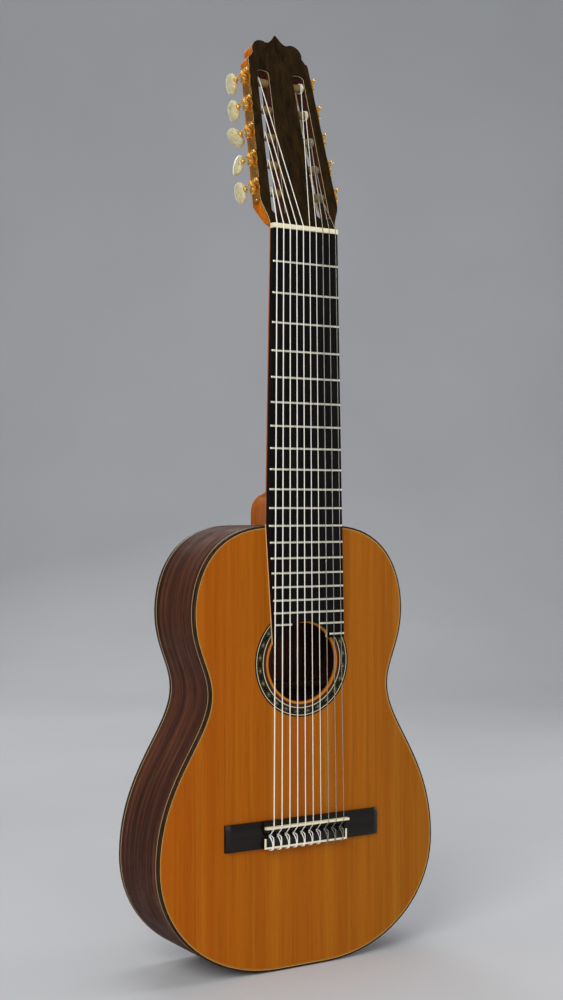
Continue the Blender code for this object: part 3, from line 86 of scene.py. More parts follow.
SIDE_LINE_WIDTH = 0.0012
FINE_GAP = 0.00002
LINE_PROUD = 0.00003
SEAM_DEPTH = 0.0005
LINING_WIDTH = 0.0060
LINING_HEIGHT = 0.0150
KERF_SHARES = ((0.03, 0.47), (0.53, 0.97))
GRAFT_WIDTH = 0.020
SIDE_JOINT_X = 0.004
HOLE_Z = 0.335312
HOLE_RADIUS = 0.0435
HOLE_SEGMENTS = 160
ROSETTE_INNER = 0.0475
ROSETTE_OUTER = 0.0605
ROSETTE_PROUD = 0.00004
ROSETTE_DEPTH = 0.0012
TILES_OUTER = 0.0573
TILE_ROWS = 9
TILE_COLUMNS = 456
TILE_REPEAT = 19
SCALE_LENGTH = 0.650
SADDLE_COMPENSATION = 0.002
BODY_JOINT_FRET = 12
NUT_WIDTH = 0.084
JOINT_WIDTH = 0.096
BASS_KINK = 0.007
NUT_THICK = 0.0055
WEDGE_THICK = 0.0020
BOARD_THICK = 0.0060
BOARD_END_RADIUS = 0.0452
TONGUE_INNER_X = 0.0305
TONGUE_LENGTH = 0.0043
BOARD_END_STEPS = 40
FRET_COUNT = 19
FRET_WIDTH = 0.0022
FRET_HEIGHT = 0.0010
FRET_END = ((0.0, 0.35), (0.0005, 0.85), (0.0010, 1.0))
NECK_THICK_NUT = 0.0160
NECK_THICK_JOINT = 0.0180
HEEL_LENGTH = 0.039
HEEL_TIP_WIDTH = 0.032
HEEL_CURVE = 4.5
HEEL_ROUNDING = 2.2
FILLET_BELOW = 0.012
FILLET_LENGTH = 0.046
FILLET_SHARE = 0.13
FILLET_BLEND = 2.5
NECK_STEPS = 22
NECK_BLOCK_WIDTH = 0.064
NECK_BLOCK_THICK = 0.014
NECK_FOOT_LENGTH = 0.045
NECK_FOOT_THICK = 0.012
HEAD_TILT = math.radians(15)
HEAD_THICK = 0.0200
VENEER_THICK = 0.0020
HEAD_WIDE = 0.0995
HEAD_WIDE_S = 0.030
HEAD_TAPER = 0.0625
HEAD_SIDE_END = 0.2025
SIDE_STEP_X = 0.0032
SIDE_STEP_S = 0.0030
LOBE_INSET = 0.0186
LOBE_RISE = 0.0119
LOBE_RADIUS = 0.0122
LOBE_POINTS = 16
LOBE_START = math.radians(-15)
LOBE_STEP = math.radians(9)
CREST = (
    (0.0118, 0.0226), (0.0102, 0.0231), (0.0085, 0.0242), (0.0064, 0.0262), (0.0045, 0.0285),
    (0.0020, 0.0318),
)
CREST_RISE = 0.0338
THROAT_LENGTH = 0.026
SLOT_START = 0.0115
SLOT_END = 0.1895
SLOT_INNER_START = 0.0200
SLOT_INNER_END = 0.0150
SLOT_OUTER_START = 0.0384
SLOT_OUTER_END = 0.0313
TUNERS_PER_SIDE = 5
FIRST_TUNER_S = 0.0425
TUNER_PITCH = 0.034
ROLLER_DEPTH = 0.0090
ROLLER_RADIUS = 0.0048
LAST_TUNER_S = FIRST_TUNER_S + TUNER_PITCH * (TUNERS_PER_SIDE - 1)
ROLLER_REACH = HEAD_WIDE / 2 - HEAD_TAPER * (LAST_TUNER_S - HEAD_WIDE_S) - 0.0038
JOURNAL_RADIUS = 0.0022
PLATE_THICK = 0.0012
PLATE_HALF_WIDTH = 0.0075
PLATE_SCALLOP = 0.0011
PLATE_END = 0.0165
PLATE_SCREW_INSET = 0.0042
GEAR_TEETH = 14
GEAR_WIDTH = 0.0026
GEAR_STANDOFF = 0.0019
WORM_LEAD = 0.00233
GEAR_ADDENDUM = 0.00055
GEAR_DEDENDUM = 0.00085
WORM_PITCH_RADIUS = 0.0023
WORM_ADDENDUM = 0.0006
WORM_CORE_RADIUS = 0.0014
TOOTH_THICK = 0.00078
THREAD_THICK = 0.00088
FLANK_SLOPE = 0.36
WORM_TURNS = 2
WORM_SEGMENTS = 28
CHEEK_START = 0.0034
CHEEK_THICK = 0.0018
CHEEK_WIDTH = 0.0050
CHEEK_RISE = 0.0024
TIP_RADIUS = 0.0019
TIP_REACH = 0.0112
TIP_LENGTH = 0.0040
TIP_PROFILE = (
    (0.0, 0.35), (0.06, 0.62), (0.18, 0.88), (0.38, 1.0), (0.58, 0.92), (0.74, 0.70), (0.80, 0.72),
    (0.92, 0.80),
)
GEAR_SCREW_RADIUS = 0.0024
GEAR_SCREW_HEIGHT = 0.0011
BUTTON_START = 0.0145
BUTTON_LENGTH = 0.0215
BUTTON_HEIGHT = 0.0245
BUTTON_THICK = 0.0095
BUTTON_STEPS = 26
BUTTON_TURNS = (-12, 10, -40, -10, -8)
COLLAR_RADIUS = 0.0029
COLLAR_LENGTH = 0.0026
BRIDGE_WIDTH = 0.198
BRIDGE_LENGTH = 0.0295
BRIDGE_ABOVE_SADDLE = 0.0065
WING_HEIGHT = 0.0042
WING_TIP_HEIGHT = 0.0026
WING_BEVEL = 0.007
TIE_WIDTH = 0.107
TIE_HEIGHT = 0.0085
TIE_LENGTH = 0.0115
SADDLE_RIDGE_HEIGHT = 0.0080
SADDLE_RIDGE_LENGTH = 0.0125
SADDLE_THICK = 0.0026
SADDLE_TOP = 0.0138
TIE_HOLE_HEIGHT = 0.0046
TIE_HOLE_RADIUS = 0.0013
TIE_LOOP = 0.0026
INLAY_WIDTH = 0.0022
INLAY_THICK = 0.0010
STRING_DIAMETERS = (
    0.00072, 0.00082, 0.00102, 0.00076, 0.00088, 0.00108, 0.00112, 0.00118, 0.00126, 0.00136,
)
STRING_NUMBERS = range(1, len(STRING_DIAMETERS) + 1)
NYLON_COUNT = 3
NUT_SPACING = 0.0085
SADDLE_SPACING = 0.0101
NUT_RISE = 0.0013
NUT_OVER_STRING = 0.0007
BONE_ROUND = 0.0006
BONE_END = 0.0004
WINDING_TURNS = 1.5
WINDING_STEPS = 28
WINDING_SPACE = 0.0006
WINDING_U_FIRST = -0.0172
WINDING_U_LAST = -0.0127

# Shader values
COLOUR_MIX_INPUTS = (0, 6, 7)
COLOUR_MIX_OUTPUT = 2
GRAIN_STRETCH = 0.035
PORE_SHARE = 0.28
WHITE = (1.0, 1.0, 1.0)

# Mesh and stage values
PIECE_WELD = 1e-7
OUTLINE_WELD = 1e-6
LONGEST_SIDE = 2.0
WALL_START = 2.2
WALL_CURVE = 1.2

FRONT_Y = -TAIL_DEPTH / 2
NECK_FACE_Y = FRONT_Y - WEDGE_THICK
BOARD_TOP_Y = NECK_FACE_Y - GAP - BOARD_THICK
NUT_Z = BODY_LENGTH + SCALE_LENGTH * (1 - 2 ** (-BODY_JOINT_FRET / 12))
SADDLE_Z = NUT_Z - SCALE_LENGTH - SADDLE_COMPENSATION
NUT_TOP_Y = BOARD_TOP_Y - NUT_RISE + GAP
HEAD_ORIGIN = Vector((0, NECK_FACE_Y - VENEER_THICK, NUT_Z + NUT_THICK))
HEAD_S = Vector((0, math.sin(HEAD_TILT), math.cos(HEAD_TILT)))
HEAD_B = Vector((0, math.cos(HEAD_TILT), -math.sin(HEAD_TILT)))
GEAR_PITCH_RADIUS = GEAR_TEETH * WORM_LEAD / (2 * math.pi)
CENTRE_DISTANCE = GEAR_PITCH_RADIUS + WORM_PITCH_RADIUS
SLANT_PITCH = TUNER_PITCH / math.cos(math.atan(HEAD_TAPER))
PLATE_OUTER = GAP + PLATE_THICK
GEAR_START = PLATE_OUTER + GEAR_STANDOFF
GEAR_MIDDLE = GEAR_START + GEAR_WIDTH / 2
SIDES = {"bass": -1, "treble": 1}
MM = 1000.0


# Shader helpers


def set_inputs(node, values):
    for name, value in values.items():
        node.inputs[name].default_value = value


def new_material(name, colour, roughness, metallic=0.0, coat=0.0, coat_roughness=0.1, specular=0.5):
    mat = bpy.data.materials.new(name)
    mat.use_nodes = True
    shader = mat.node_tree.nodes["Principled BSDF"]
    set_inputs(
        shader,
        {
            "Base Color": (*colour, 1),
            "Roughness": roughness,
            "Metallic": metallic,
            "Coat Weight": coat,
            "Coat Roughness": coat_roughness,
            "Specular IOR Level": specular,
        },
    )
    return mat, mat.node_tree, shader


def add_node(tree, kind, **values):
    node = tree.nodes.new(kind)
    for key, value in values.items():
        setattr(node, key, value)
    return node


def object_coords(tree, scale=(1, 1, 1), output="Object"):
    """Coordinates in millimetres, squeezed along the grain by the scale."""
    source = add_node(tree, "ShaderNodeTexCoord")
    mapping = add_node(tree, "ShaderNodeMapping")
    mapping.inputs["Scale"].default_value = [MM * s for s in scale]
    tree.links.new(source.outputs[output], mapping.inputs["Vector"])
    return mapping.outputs["Vector"]


def noise(tree, vector, scale, detail=3.0, roughness=0.5, distortion=0.0):
    node = add_node(tree, "ShaderNodeTexNoise")
    set_inputs(node, {"Scale": scale, "Detail": detail, "Roughness": roughness, "Distortion": distortion})
    tree.links.new(vector, node.inputs["Vector"])
    return node.outputs["Fac"]


def waves(tree, vector, scale, distortion=0.0, detail=2.0, direction="X"):
    node = add_node(tree, "ShaderNodeTexWave", wave_type="BANDS", bands_direction=direction)
    set_inputs(node, {"Scale": scale, "Distortion": distortion, "Detail": detail})
    tree.links.new(vector, node.inputs["Vector"])
    return node.outputs["Fac"]


def ramp(tree, value, stops):
    """Colours or greys by position; a stop is (position, colour)."""
    node = add_node(tree, "ShaderNodeValToRGB")
    elements = node.color_ramp.elements
    while len(elements) < len(stops):
        elements.new(0.5)
    for element, (position, colour) in zip(elements, stops):
        element.position = position
        element.color = (*colour, 1) if isinstance(colour, tuple) else (colour, colour, colour, 1)
    tree.links.new(value, node.inputs["Fac"])
    return node.outputs["Color"]


def link_or_set(tree, socket, value):
    if isinstance(value, bpy.types.NodeSocket):
        tree.links.new(value, socket)
    elif isinstance(value, tuple):
        socket.default_value = (*value, 1)
    else:
        socket.default_value = value


def mix(tree, factor, first, second, blend="MIX"):
    node = add_node(tree, "ShaderNodeMix", data_type="RGBA", blend_type=blend)
    for index, value in zip(COLOUR_MIX_INPUTS, (factor, first, second)):
        link_or_set(tree, node.inputs[index], value)
    return node.outputs[COLOUR_MIX_OUTPUT]


def shaded(tree, colour, weight, value, stops):
    """The colour multiplied by a ramp over a pattern."""
    return mix(tree, weight, colour, ramp(tree, value, stops), "MULTIPLY")


def maths(tree, operation, first, second=0.0):
    node = add_node(tree, "ShaderNodeMath", operation=operation)
    link_or_set(tree, node.inputs[0], first)
    link_or_set(tree, node.inputs[1], second)
    return node.outputs[0]


def split(tree, vector):
    node = add_node(tree, "ShaderNodeSeparateXYZ")
    tree.links.new(vector, node.inputs[0])
    return list(node.outputs)


def join(tree, *values):
    node = add_node(tree, "ShaderNodeCombineXYZ")
    for socket, value in zip(node.inputs, values):
        link_or_set(tree, socket, value)
    return node.outputs[0]


def bump(tree, shader, height, strength, distance):
    node = add_node(tree, "ShaderNodeBump")
    node.inputs["Strength"].default_value = strength
    node.inputs["Distance"].default_value = distance
    tree.links.new(height, node.inputs["Height"])
    tree.links.new(node.outputs["Normal"], shader.inputs["Normal"])


def paint(tree, shader, colour):
    tree.links.new(colour, shader.inputs["Base Color"])


def wear(tree, shader, vector, scale, detail, stops):
    """Roughness that changes in soft clouds."""
    clouds = noise(tree, vector, scale, detail=detail)
    tree.links.new(ramp(tree, clouds, stops), shader.inputs["Roughness"])


def wood(
    name, grain, tones, streak_mm, line_mm, pores=0.3, coat=0.0, coat_roughness=0.14,
    roughness=0.45, mirror=False
):
    """Sawn wood: broad streaks, fine lines and pores along one axis (X, Z or UV).

    tones are the dark, middle and light colours.
    """
    mat, tree, shader = new_material(
        name, tones[1], roughness, coat=coat, coat_roughness=coat_roughness, specular=0.06
    )
    scale = (1, 1, GRAIN_STRETCH) if grain == "Z" else (GRAIN_STRETCH, 1, 1)
    vector = object_coords(tree, scale, "UV" if grain == "UV" else "Object")
    if mirror:
        x, y, z = split(tree, vector)
        vector = join(tree, maths(tree, "ABSOLUTE", x), y, z)
    streaks = noise(tree, vector, 1 / streak_mm, detail=4, roughness=0.6, distortion=0.6)
    base = ramp(tree, streaks, list(zip((0.28, 0.48, 0.72), tones)))
    lines = noise(tree, vector, 1 / line_mm, detail=3, roughness=0.7)
    colour = shaded(tree, base, 0.75, lines, [(0.36, 0.45), (0.56, 1.0)])
    pore = noise(tree, vector, 1 / (PORE_SHARE * line_mm), detail=1)
    pore_shade = ramp(tree, pore, [(0.30, 0.30), (0.42, 1.0)])
    paint(tree, shader, mix(tree, pores, colour, pore_shade, "MULTIPLY"))
    wear(tree, shader, object_coords(tree), 0.05, 4, [(0.35, roughness * 0.85), (0.7, roughness * 1.2)])
    bump(tree, shader, pore_shade, 0.25, 0.00015)
    return mat


def cedar_top():
    """Quarter-sawn cedar, book-matched at the middle, with fine year lines and painted light across it:
    brighter and redder on the bass side, darker and yellower to the treble.
    """
    mat, tree, shader = new_material("cedar_top", (0.44, 0.11, 0.004), 0.45, specular=0.08)
    vector = object_coords(tree)
    across, _, along = split(tree, vector)
    drift = noise(tree, object_coords(tree, (0.35, 1, 0.05)), 0.06, detail=2)
    wander = maths(tree, "MULTIPLY", maths(tree, "SUBTRACT", drift, 0.5), 9.0)
    matched = maths(tree, "ADD", maths(tree, "ABSOLUTE", across), wander)
    grain = join(tree, matched, 0.0, maths(tree, "MULTIPLY", along, 0.012))
    broad = noise(tree, grain, 0.045, detail=3, roughness=0.55)
    tones = [(0.28, (0.37, 0.086, 0.001)), (0.50, (0.45, 0.122, 0.003)), (0.72, (0.52, 0.165, 0.006))]
    # Painted light: a colour shift from side to side, brighter on the bass side where the key light falls,
    # darker to the treble.
    shift = maths(tree, "ADD", maths(tree, "MULTIPLY", across, 0.0028), 0.5)
    painted_side_light = [(0.05, (1.04, 0.93, 0.8)), (0.95, (0.86, 1.02, 1.9))]
    colour = shaded(tree, ramp(tree, broad, tones), 1.0, shift, painted_side_light)
    years = noise(tree, grain, 0.85, detail=2, roughness=0.65)
    year_shade = ramp(tree, years, [(0.30, 0.74), (0.50, 0.95), (0.68, 1.0)])
    colour = mix(tree, 0.85, colour, year_shade, "MULTIPLY")
    streak = noise(tree, grain, 0.16, detail=1)
    colour = shaded(tree, colour, 0.6, streak, [(0.30, 0.80), (0.42, 1.0)])
    fibre = noise(tree, object_coords(tree, (1, 1, 0.08)), 2.4, detail=2)
    paint(tree, shader, shaded(tree, colour, 0.7, fibre, [(0.3, 0.86), (0.6, 1.0)]))
    wear(tree, shader, vector, 0.035, 3, [(0.3, 0.40), (0.7, 0.52)])
    bump(tree, shader, year_shade, 0.12, 0.0002)
    return mat


def polished_metal(name, colour, roughness, engraved_with_shade=False, tint=(1.0, 0.88, 0.66), metallic=1.0):
    mat, tree, shader = new_material(name, colour, roughness, metallic=metallic)
    vector = object_coords(tree)
    wear(tree, shader, vector, 0.35, 4, [(0.3, roughness * 0.75), (0.7, roughness * 1.45)])
    body = shaded(tree, colour, 0.6, noise(tree, vector, 0.12, detail=3), [(0.35, tint), (0.6, WHITE)])
    if engraved_with_shade:
        # The scroll: a bump relief, with painted dark reflections on its low ground and bright gold on its
        # raised lines.
        scroll = waves(tree, vector, 0.20, distortion=9.0, detail=1.5, direction="Z")
        cut = ramp(tree, scroll, [(0.30, 0.0), (0.42, 1.0), (0.58, 1.0), (0.70, 0.0)])
        body = mix(tree, 0.75, body, mix(tree, cut, (0.30, 0.15, 0.05), WHITE), "MULTIPLY")
        bump(tree, shader, cut, 0.6, 0.0003)
    else:
        bump(tree, shader, noise(tree, vector, 2.2, detail=2), 0.06, 0.0001)
    paint(tree, shader, body)
    return mat


def wound_wire():
    """Fine silver-plated wire wound on a core, with its turns across the string."""
    mat, tree, shader = new_material("wound_wire", (0.97, 0.95, 0.84), 0.45, metallic=0.1)
    turns = waves(tree, object_coords(tree, (1, 1, 1), "UV"), 1.0)
    tarnish = noise(tree, object_coords(tree), 0.05, detail=3)
    silver = ramp(tree, tarnish, [(0.3, (0.97, 0.92, 0.76)), (0.6, (1.0, 0.99, 0.92))])
    paint(tree, shader, shaded(tree, silver, 0.5, turns, [(0.0, 0.75), (0.35, 1.0)]))
    bump(tree, shader, turns, 0.5, 0.00008)
    return mat


def clear_nylon():
    mat, tree, shader = new_material("clear_nylon", (0.50, 0.49, 0.42), 0.20, coat=0.15)
    set_inputs(shader, {"Transmission Weight": 0.60, "IOR": 1.5})
    cloud = noise(tree, object_coords(tree), 0.2, detail=2)
    paint(tree, shader, ramp(tree, cloud, [(0.3, (0.44, 0.43, 0.36)), (0.7, (0.56, 0.55, 0.48))]))
    bump(tree, shader, cloud, 0.05, 0.00005)
    return mat


def pearl():
    """Cream mother-of-pearl plastic in cloudy bands."""
    mat, tree, shader = new_material(
        "pearl", (0.85, 0.84, 0.72), 0.28, coat=0.4, coat_roughness=0.08, specular=0.3
    )
    set_inputs(shader, {"Subsurface Weight": 0.15, "Subsurface Radius": (0.004, 0.003, 0.002)})
    vector = object_coords(tree)
    cloud = noise(tree, vector, 0.11, detail=2, distortion=2.5)
    tones = [(0.25, (0.42, 0.35, 0.16)), (0.45, (0.62, 0.54, 0.29))]
    tones += [(0.60, (0.73, 0.67, 0.42)), (0.75, (0.58, 0.55, 0.36))]
    paint(tree, shader, ramp(tree, cloud, tones))
    bump(tree, shader, noise(tree, vector, 0.5, detail=1), 0.08, 0.0002)
    return mat


def bone(name, colour, line=0.5):
    mat, tree, shader = new_material(name, colour, 0.30, coat=0.35, coat_roughness=0.12)
    set_inputs(shader, {"Subsurface Weight": 0.10, "Subsurface Radius": (0.002, 0.0015, 0.001)})
    fine = noise(tree, object_coords(tree, (0.15, 1, 1)), 1.6, detail=3)
    paint(tree, shader, shaded(tree, colour, line, fine, [(0.35, (0.84, 0.78, 0.66)), (0.60, WHITE)]))
    bump(tree, shader, fine, 0.10, 0.0001)
    return mat


def ebony():
    mat, tree, shader = new_material("ebony", (0.005, 0.004, 0.005), 0.42, specular=0.06)
    vector = object_coords(tree, (1, 1, 0.03))
    streaks = noise(tree, vector, 0.35, detail=4)
    tones = [(0.3, (0.003, 0.0025, 0.003)), (0.55, (0.006, 0.0045, 0.005)), (0.8, (0.012, 0.008, 0.008))]
    pore = ramp(tree, noise(tree, vector, 3.0, detail=1), [(0.32, 0.2), (0.44, 1.0)])
    paint(tree, shader, mix(tree, 0.5, ramp(tree, streaks, tones), pore, "MULTIPLY"))
    wear(tree, shader, object_coords(tree), 0.08, 3, [(0.3, 0.36), (0.7, 0.50)])
    bump(tree, shader, pore, 0.25, 0.0001)
    return mat


def plain_wood(name, colour):
    """A thin line or tile of veneer."""
    mat, tree, shader = new_material(name, colour, 0.45, specular=0.1)
    fine = noise(tree, object_coords(tree), 1.4, detail=3)
    paint(tree, shader, shaded(tree, colour, 0.8, fine, [(0.3, 0.78), (0.65, 1.0)]))
    bump(tree, shader, fine, 0.05, 0.0001)
    return mat


ROSEWOOD = ((0.022, 0.009, 0.006), (0.080, 0.029, 0.017), (0.170, 0.058, 0.030))
CEDAR_NECK = ((0.45, 0.090, 0.002), (0.62, 0.150, 0.004), (0.76, 0.220, 0.008))
HEAD_VENEER = ((0.008, 0.0045, 0.0015), (0.023, 0.012, 0.003), (0.045, 0.022, 0.005))
EDGING = ((0.014, 0.007, 0.004), (0.036, 0.018, 0.010), (0.070, 0.032, 0.016))
BRIDGE_WOOD = ((0.003, 0.0018, 0.0012), (0.006, 0.0036, 0.0022), (0.012, 0.007, 0.004))
# Slot wall wood: darker and redder, painted shade for the inside of the tuner slots.
SLOT_SHADE_WOOD = ((0.030, 0.008, 0.004), (0.075, 0.018, 0.007), (0.130, 0.035, 0.010))
SPRUCE = ((0.045, 0.022, 0.008), (0.070, 0.036, 0.013), (0.10, 0.055, 0.022))
LINING_WOOD = ((0.09, 0.040, 0.015), (0.14, 0.065, 0.025), (0.18, 0.090, 0.038))
MATERIALS = {
    "top": cedar_top(),
    "rib": wood("rosewood_side", "UV", ROSEWOOD, 9.0, 1.3, pores=0.45, roughness=0.6),
    "back": wood("rosewood_back", "Z", ROSEWOOD, 11.0, 1.4, pores=0.45, coat=0.08, mirror=True),
    "binding": wood("rosewood_edge", "Z", EDGING, 4.0, 0.9, coat=0.05),
    "veneer": wood("rosewood_head", "Z", HEAD_VENEER, 7.0, 1.0, pores=0.4, roughness=0.5),
    "bridge": wood(
        "rosewood_bridge", "X", BRIDGE_WOOD, 5.0, 0.9, coat=0.45, coat_roughness=0.30, roughness=0.5,
    ),
    "neck": wood("cedar_neck", "Z", CEDAR_NECK, 10.0, 1.2, pores=0.35, roughness=0.5),
    # Painted shade: the slot walls in a darker wood, for the shade inside the slots.
    "slot_wall_shade": wood("slot_painted_shade", "Z", SLOT_SHADE_WOOD, 7.0, 1.0),
    "spruce": wood("spruce_brace", "X", SPRUCE, 6.0, 1.0, roughness=0.6),
    "lining": wood("lining_cedar", "Z", LINING_WOOD, 6.0, 1.0, roughness=0.65),
    "ebony": ebony(),
    "bone": bone("bone", (0.95, 0.88, 0.62)),
    "roller": bone("roller_ivory", (0.24, 0.155, 0.055), line=0.8),
    "light": plain_wood("light_line", (0.72, 0.62, 0.36)),
    "tan": plain_wood("tan_line", (0.50, 0.34, 0.15)),
    "amber": plain_wood("amber_line", (0.62, 0.30, 0.06)),
    "orange": plain_wood("orange_ring", (0.58, 0.20, 0.015)),
    # Pale underlay wood: its paleness is partly its own colour and partly a painted highlight along the body
    # joint.
    "wedge": plain_wood("pale_wedge_highlight", (0.80, 0.50, 0.24)),
    "black": plain_wood("black_line", (0.006, 0.005, 0.005)),
    "green": plain_wood("green_tile", (0.10, 0.115, 0.065)),
    "grey": plain_wood("grey_tile", (0.46, 0.46, 0.32)),
    "red": plain_wood("red_tile", (0.075, 0.018, 0.012)),
    "gold": polished_metal("gold", (0.95, 0.62, 0.17), 0.24),
    "plate": polished_metal("engraved_gold_shaded", (0.93, 0.58, 0.14), 0.30, engraved_with_shade=True),
    "nickel": polished_metal(
        "nickel_silver", (0.93, 0.90, 0.76), 0.30, tint=(0.93, 0.90, 0.82), metallic=0.6,
    ),
    "wound": wound_wire(),
    "nylon": clear_nylon(),
    "pearl": pearl(),
}


# Mesh helpers


def link(ob):
    bpy.context.scene.collection.objects.link(ob)
    return ob


def add_piece(name, bm, key, slot, body="body", nodes=(), smooth=35.0, extra=()):
    """A piece from a bmesh: welded, facing out, riding on its body."""
    bmesh.ops.remove_doubles(bm, verts=bm.verts, dist=PIECE_WELD)
    bmesh.ops.recalc_face_normals(bm, faces=bm.faces)
    mesh = bpy.data.meshes.new(name)
    bm.to_mesh(mesh)
    bm.free()
    for finish in (key, *extra):
        mesh.materials.append(MATERIALS[finish])
    mesh.shade_smooth()
    mesh.set_sharp_from_angle(angle=math.radians(smooth))
    ob = link(bpy.data.objects.new(name, mesh))
    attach(ob, body)
    if nodes:
        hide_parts(*nodes)
    return ob


def loft_into(bm, rings, closed=False, runs=None):
    """Skin rings of equal count, with an optional run length per ring for its UV."""
    loops = [[bm.verts.new(p) for p in ring] for ring in rings]
    layer = bm.loops.layers.uv.verify()
    count = len(loops[0])
    pairs = list(zip(range(len(loops)), range(1, len(loops))))
    if closed:
        pairs.append((len(loops) - 1, 0))
    for low, high in pairs:
        for i in range(count):
            j = (i + 1) % count
            face = bm.faces.new((loops[low][i], loops[low][j], loops[high][j], loops[high][i]))
            if runs:
                corners = ((runs[low], i), (runs[low], i + 1), (runs[high], i + 1), (runs[high], i))
                for corner, (run, step) in zip(face.loops, corners):
                    across = corner.vert.co.y if runs[-1] < LONGEST_SIDE else step / count
                    corner[layer].uv = (run, across)
    if not closed:
        bm.faces.new(loops[0])
        bm.faces.new(loops[-1])


def add_loft(name, rings, key, slot, closed=False, runs=None, **rest):
    bm = bmesh.new()
    loft_into(bm, rings, closed, runs)
    return add_piece(name, bm, key, slot, **rest)


def prism(ring, shift):
    """Both ends of a straight bar."""
    return [ring, [p + shift for p in ring]]


def combine(ob_mesh, cutter_bm, operation="DIFFERENCE"):
    """The mesh with a Boolean applied."""
    bmesh.ops.recalc_face_normals(cutter_bm, faces=cutter_bm.faces)
    cutter_mesh = bpy.data.meshes.new("cutter")
    cutter_bm.to_mesh(cutter_mesh)
    cutter_bm.free()
    holder = link(bpy.data.objects.new("holder", ob_mesh))
    cutter = link(bpy.data.objects.new("cutter", cutter_mesh))
    modifier = holder.modifiers.new("cut", "BOOLEAN")
    modifier.operation = operation
    modifier.object = cutter
    modifier.solver = "EXACT"
    graph = bpy.context.evaluated_depsgraph_get()
    result = bpy.data.meshes.new_from_object(holder.evaluated_get(graph))
    for ob in (holder, cutter):
        bpy.data.objects.remove(ob)
    return result


def cylinder_into(bm, start, end, radius, segments=24):
    axis = Vector(end) - Vector(start)
    turn = axis.to_track_quat("Z", "Y").to_matrix().to_4x4()
    matrix = Matrix.Translation((Vector(start) + Vector(end)) / 2) @ turn
    bmesh.ops.create_cone(
        bm, cap_ends=True, segments=segments, radius1=radius, radius2=radius, depth=axis.length,
        matrix=matrix
    )


def flat_shape(bm, loops, thickness, place, edge=0.0002, steps=1):
    """Plates with holes: flat outlines (u, v) with softened edges, put in place by a rule of (u, v, w)."""
    curve = bpy.data.curves.new("flat", "CURVE")
    curve.dimensions = "2D"
    curve.fill_mode = "BOTH"
    curve.extrude = thickness / 2 - edge
    curve.bevel_depth = edge
    curve.bevel_resolution = steps
    curve.offset = -edge
    for loop in loops:
        spline = curve.splines.new("POLY")
        spline.points.add(len(loop) - 1)
        spline.use_cyclic_u = True
        for point, (u, v) in zip(spline.points, loop):
            point.co = (u, v, 0, 1)
    ob = link(bpy.data.objects.new("flat", curve))
    graph = bpy.context.evaluated_depsgraph_get()
    mesh = bpy.data.meshes.new_from_object(ob.evaluated_get(graph))
    bpy.data.objects.remove(ob)
    fresh = bmesh.new()
    fresh.from_mesh(mesh)
    bmesh.ops.remove_doubles(fresh, verts=fresh.verts, dist=OUTLINE_WELD)
    for vert in fresh.verts:
        vert.co = place(vert.co.x, vert.co.y, vert.co.z + thickness / 2)
    bmesh.ops.recalc_face_normals(fresh, faces=fresh.faces)
    fresh.to_mesh(mesh)
    fresh.free()
    bm.from_mesh(mesh)
    bpy.data.meshes.remove(mesh)


def add_flat(name, loops, thickness, place, key, slot, edge, **rest):
    bm = bmesh.new()
    flat_shape(bm, loops, thickness, place, edge)
    return add_piece(name, bm, key, slot, **rest)


def ring_at(place, along, radius, segments):
    turn = 2 * math.pi / segments
    return [place(along, radius * math.cos(turn * i), radius * math.sin(turn * i)) for i in range(segments)]


def turned(bm, profile, place, segments):
    """A lathe shape: profile of (along, radius), closed at both ends."""
    loft_into(bm, [ring_at(place, along, radius, segments) for along, radius in profile])


def tube_into(bm, points, radius, sides, pitch):
    """A closed tube along points, with UV running in metres along it, stretched by the pitch."""
    rings = []
    runs = []
    run = 0.0
    normal = None
    for i, point in enumerate(points):
        before = points[max(i - 1, 0)]
        after = points[min(i + 1, len(points) - 1)]
        heading = (after - before).normalized()
        if normal is None:
            normal = heading.orthogonal().normalized()
        normal = (normal - heading * normal.dot(heading)).normalized()
        other = heading.cross(normal)
        run += (point - before).length if i else 0.0
        rings.append([point + normal * x + other * y for x, y in circle(radius, sides)])
        runs.append(run * pitch)
    loft_into(bm, rings, runs=runs)


def smooth_path(points, steps):
    """Catmull-Rom points through given ones."""
    result = []
    padded = [points[0] * 2 - points[1]] + list(points) + [points[-1] * 2 - points[-2]]
    for a, b, c, d in zip(padded, padded[1:], padded[2:], padded[3:]):
        for i in range(steps):
            t = i / steps
            bend = (2 * a - 5 * b + 4 * c - d) * t * t + (3 * b - a - 3 * c + d) * t**3
            result.append(0.5 * (2 * b + (c - a) * t + bend))
    result.append(points[-1])
    return result


# Body


def bezier(p0, p1, p2, p3):
    points = []
    for i in range(OUTLINE_STEPS):
        t = i / OUTLINE_STEPS
        s = 1 - t
        points.append(p0 * s**3 + p1 * 3 * s * s * t + p2 * 3 * s * t * t + p3 * t**3)
    return points


def half_outline():
    tail = Vector((TAIL_FLAT / 2, 0))
    lower = Vector((LOWER_BOUT_WIDTH / 2, LOWER_BOUT_Z))
    waist = Vector((WAIST_WIDTH / 2, WAIST_Z))
    upper = Vector((UPPER_BOUT_WIDTH / 2, UPPER_BOUT_Z))
    shoulder = Vector((SHOULDER_FLAT / 2, BODY_LENGTH))
    out = Vector((1, 0))
    up = Vector((0, 1))
    points = bezier(tail, tail + out * TAIL_FULLNESS, lower - up * LOWER_FULLNESS_TAIL, lower)
    points += bezier(lower, lower + up * LOWER_FULLNESS_WAIST, waist - up * WAIST_FULLNESS_LOWER, waist)
    points += bezier(waist, waist + up * WAIST_FULLNESS_UPPER, upper - up * UPPER_FULLNESS_WAIST, upper)
    points += bezier(upper, upper + up * UPPER_FULLNESS_NECK, shoulder + out * SHOULDER_FULLNESS, shoulder)
    return points + [shoulder]


OUTLINE = half_outline()


